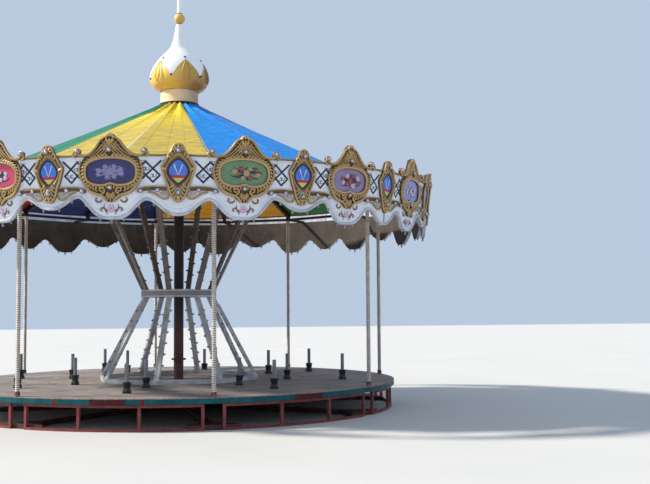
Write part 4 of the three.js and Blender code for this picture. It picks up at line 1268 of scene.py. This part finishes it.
def make_strut_trim():
    """Raised lips along the struts' edges, lamp holders beside them and the flanges of the waist ring."""
    shape = Shape()
    for foot_radius, foot_z, head_radius, head_z, count, look in STRUT_LINES:
        foot, head = np.array([foot_radius, foot_z]), np.array([head_radius, head_z])
        along = (head - foot) / np.linalg.norm(head - foot)
        proud = np.array([along[1], -along[0]]) * (STRUT_HALF_DEPTH + 0.001)
        for bay in range(BAYS):
            turn = np.array(Matrix.Rotation(math.radians(BAY_TURN + bay * BAY), 3, "Z")).T
            for side in (-1, 1):
                ends = [foot + (head - foot) * share + proud for share in (0.08, 0.9)]
                path = [(side * (STRUT_HALF_WIDTH - 0.008), -radius, z) for radius, z in ends]
                shape.grid(box_along(path, 0.007, 0.006) @ turn, look, True)
                for share in (np.arange(count) + 0.5 + 0.2 * side) / count:
                    if not 0.06 < share < 0.9:
                        continue
                    radius, z = foot + (head - foot) * share
                    for start, size, part in ((0, 0.017, look), (0.016, 0.012, "lamp_cup")):
                        x = STRUT_HALF_WIDTH - 0.002 + start
                        shape.grid(holder_across(side, x, -radius, z, size) @ turn, part, True)
    for z in WAIST_FLANGES:
        inner, outer, low, high = WAIST_RADIUS - 0.008, WAIST_RADIUS + 0.007, z - 0.011, z + 0.011
        flange = [(inner, low), (outer, low), (outer, high), (inner, high)]
        shape.grid(lathe(flange, 64), "strut_paint", True, True)
    band = [(WAIST_RADIUS + 0.0015, z) for z in WAIST_FLANGES]
    shape.grid(lathe(band, 64), "waist_ring_shade", True)
    add_piece("strut_trim", shape.mesh("strut_trim"), "strut_paint")


def box_along(path, half_width, half_depth):
    """A flat bar between two points that lie in a plane of constant x."""
    path = np.asarray(path, float)
    along = path[1] - path[0]
    out = np.cross((1.0, 0, 0), along / np.linalg.norm(along))
    return np.array([[p + (a * half_width, 0, 0) + b * half_depth * out for a, b in SQUARE] for p in path])


def holder_across(side, x, y, z, size):
    """A short round body with a closed end that stands out sideways from x."""
    turn = full_turn(8)
    step, radius = np.array([(0, size), (0.014, size), (0.018, size * 0.6), (0.019, 1e-5)]).T[..., None]
    return points_of(side * (x + step), y + radius * np.cos(turn), z + radius * np.sin(turn))


def paint_cad():
    """Gives each CAD node that stays its finish."""
    finishes = {
        "base_beams": "dark_oxide_steel", "base_frame": "red_oxide_steel", "centre_mast": "mast_steel",
        # The upper struts take the darker strut paint, grime and painted shade
        "deck_joists": "dark_oxide_steel", "lower_struts": "strut_paint", "upper_struts": "strut_paint_grime_and_shade",
        # The roof's members take the near-black steel, painted shade
        "roof_hub": "roof_steel_painted_shade", "roof_bay": "roof_steel_painted_shade",
        "deck_quarter": "deck_ply", "rim_quarter": "rim_paint",
    }
    for name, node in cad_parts.items():
        for start, look in finishes.items():
            if name.startswith(start):
                node.data.materials.clear()
                node.data.materials.append(LOOKS[look])


# Stage


def make_camera():
    level = Vector((math.cos(CAMERA_YAW), -math.sin(CAMERA_YAW), 0))
    ahead = math.cos(CAMERA_PITCH)
    forward = Vector((math.sin(CAMERA_YAW) * ahead, math.cos(CAMERA_YAW) * ahead, math.sin(CAMERA_PITCH)))
    up = level.cross(forward)
    right = level * math.cos(CAMERA_ROLL) + up * math.sin(CAMERA_ROLL)
    above = up * math.cos(CAMERA_ROLL) - level * math.sin(CAMERA_ROLL)
    data = bpy.data.cameras.new("camera")
    data.sensor_width = SENSOR_WIDTH
    data.lens = FOCAL_PIXELS / PICTURE_WIDTH * SENSOR_WIDTH
    data.clip_end = 200
    placement = Matrix((right, above, -forward)).transposed().to_4x4()
    placement.translation = Vector(CAMERA_PLACE)
    camera = put("camera", data)
    camera.matrix_world = placement
    bpy.context.scene.camera = camera


def make_light():
    world = bpy.data.worlds.new("studio")
    world.use_nodes = True
    background = world.node_tree.nodes["Background"]
    background.inputs["Color"].default_value = SKY_COLOUR
    background.inputs["Strength"].default_value = SKY_STRENGTH
    bpy.context.scene.world = world
    data = bpy.data.lights.new("sun", "SUN")
    data.energy = SUN_STRENGTH
    data.angle = math.radians(SUN_SPREAD)
    data.color = SUN_COLOUR
    azimuth, height = math.radians(SUN_AZIMUTH), math.radians(SUN_HEIGHT)
    level = math.cos(height)
    towards = Vector((math.sin(azimuth) * level, -math.cos(azimuth) * level, math.sin(height)))
    sun = put("sun", data)
    sun.rotation_mode = "QUATERNION"
    sun.rotation_quaternion = towards.to_track_quat("Z", "Y")


def make_floor():
    data = bpy.data.meshes.new("floor")
    corners = [(FLOOR_REACH * x, FLOOR_REACH * y, 0) for x, y in SQUARE]
    data.from_pydata(corners, [], [(0, 1, 2, 3)])
    paint = Paint("floor")
    paint.finish(paint.mix(paint.noise(0.4, 3), (206, 204, 200), (192, 190, 188)), 0.9)
    data.materials.append(LOOKS["floor"])
    put("floor", data)


def main():
    make_camera()
    make_light()
    make_floor()
    make_looks()
    paint_cad()
    make_boards()
    make_poles()
    make_canopy()
    make_collar()
    make_onion()
    make_strut_trim()
    bpy.context.scene.view_settings.view_transform = "Standard"


main()
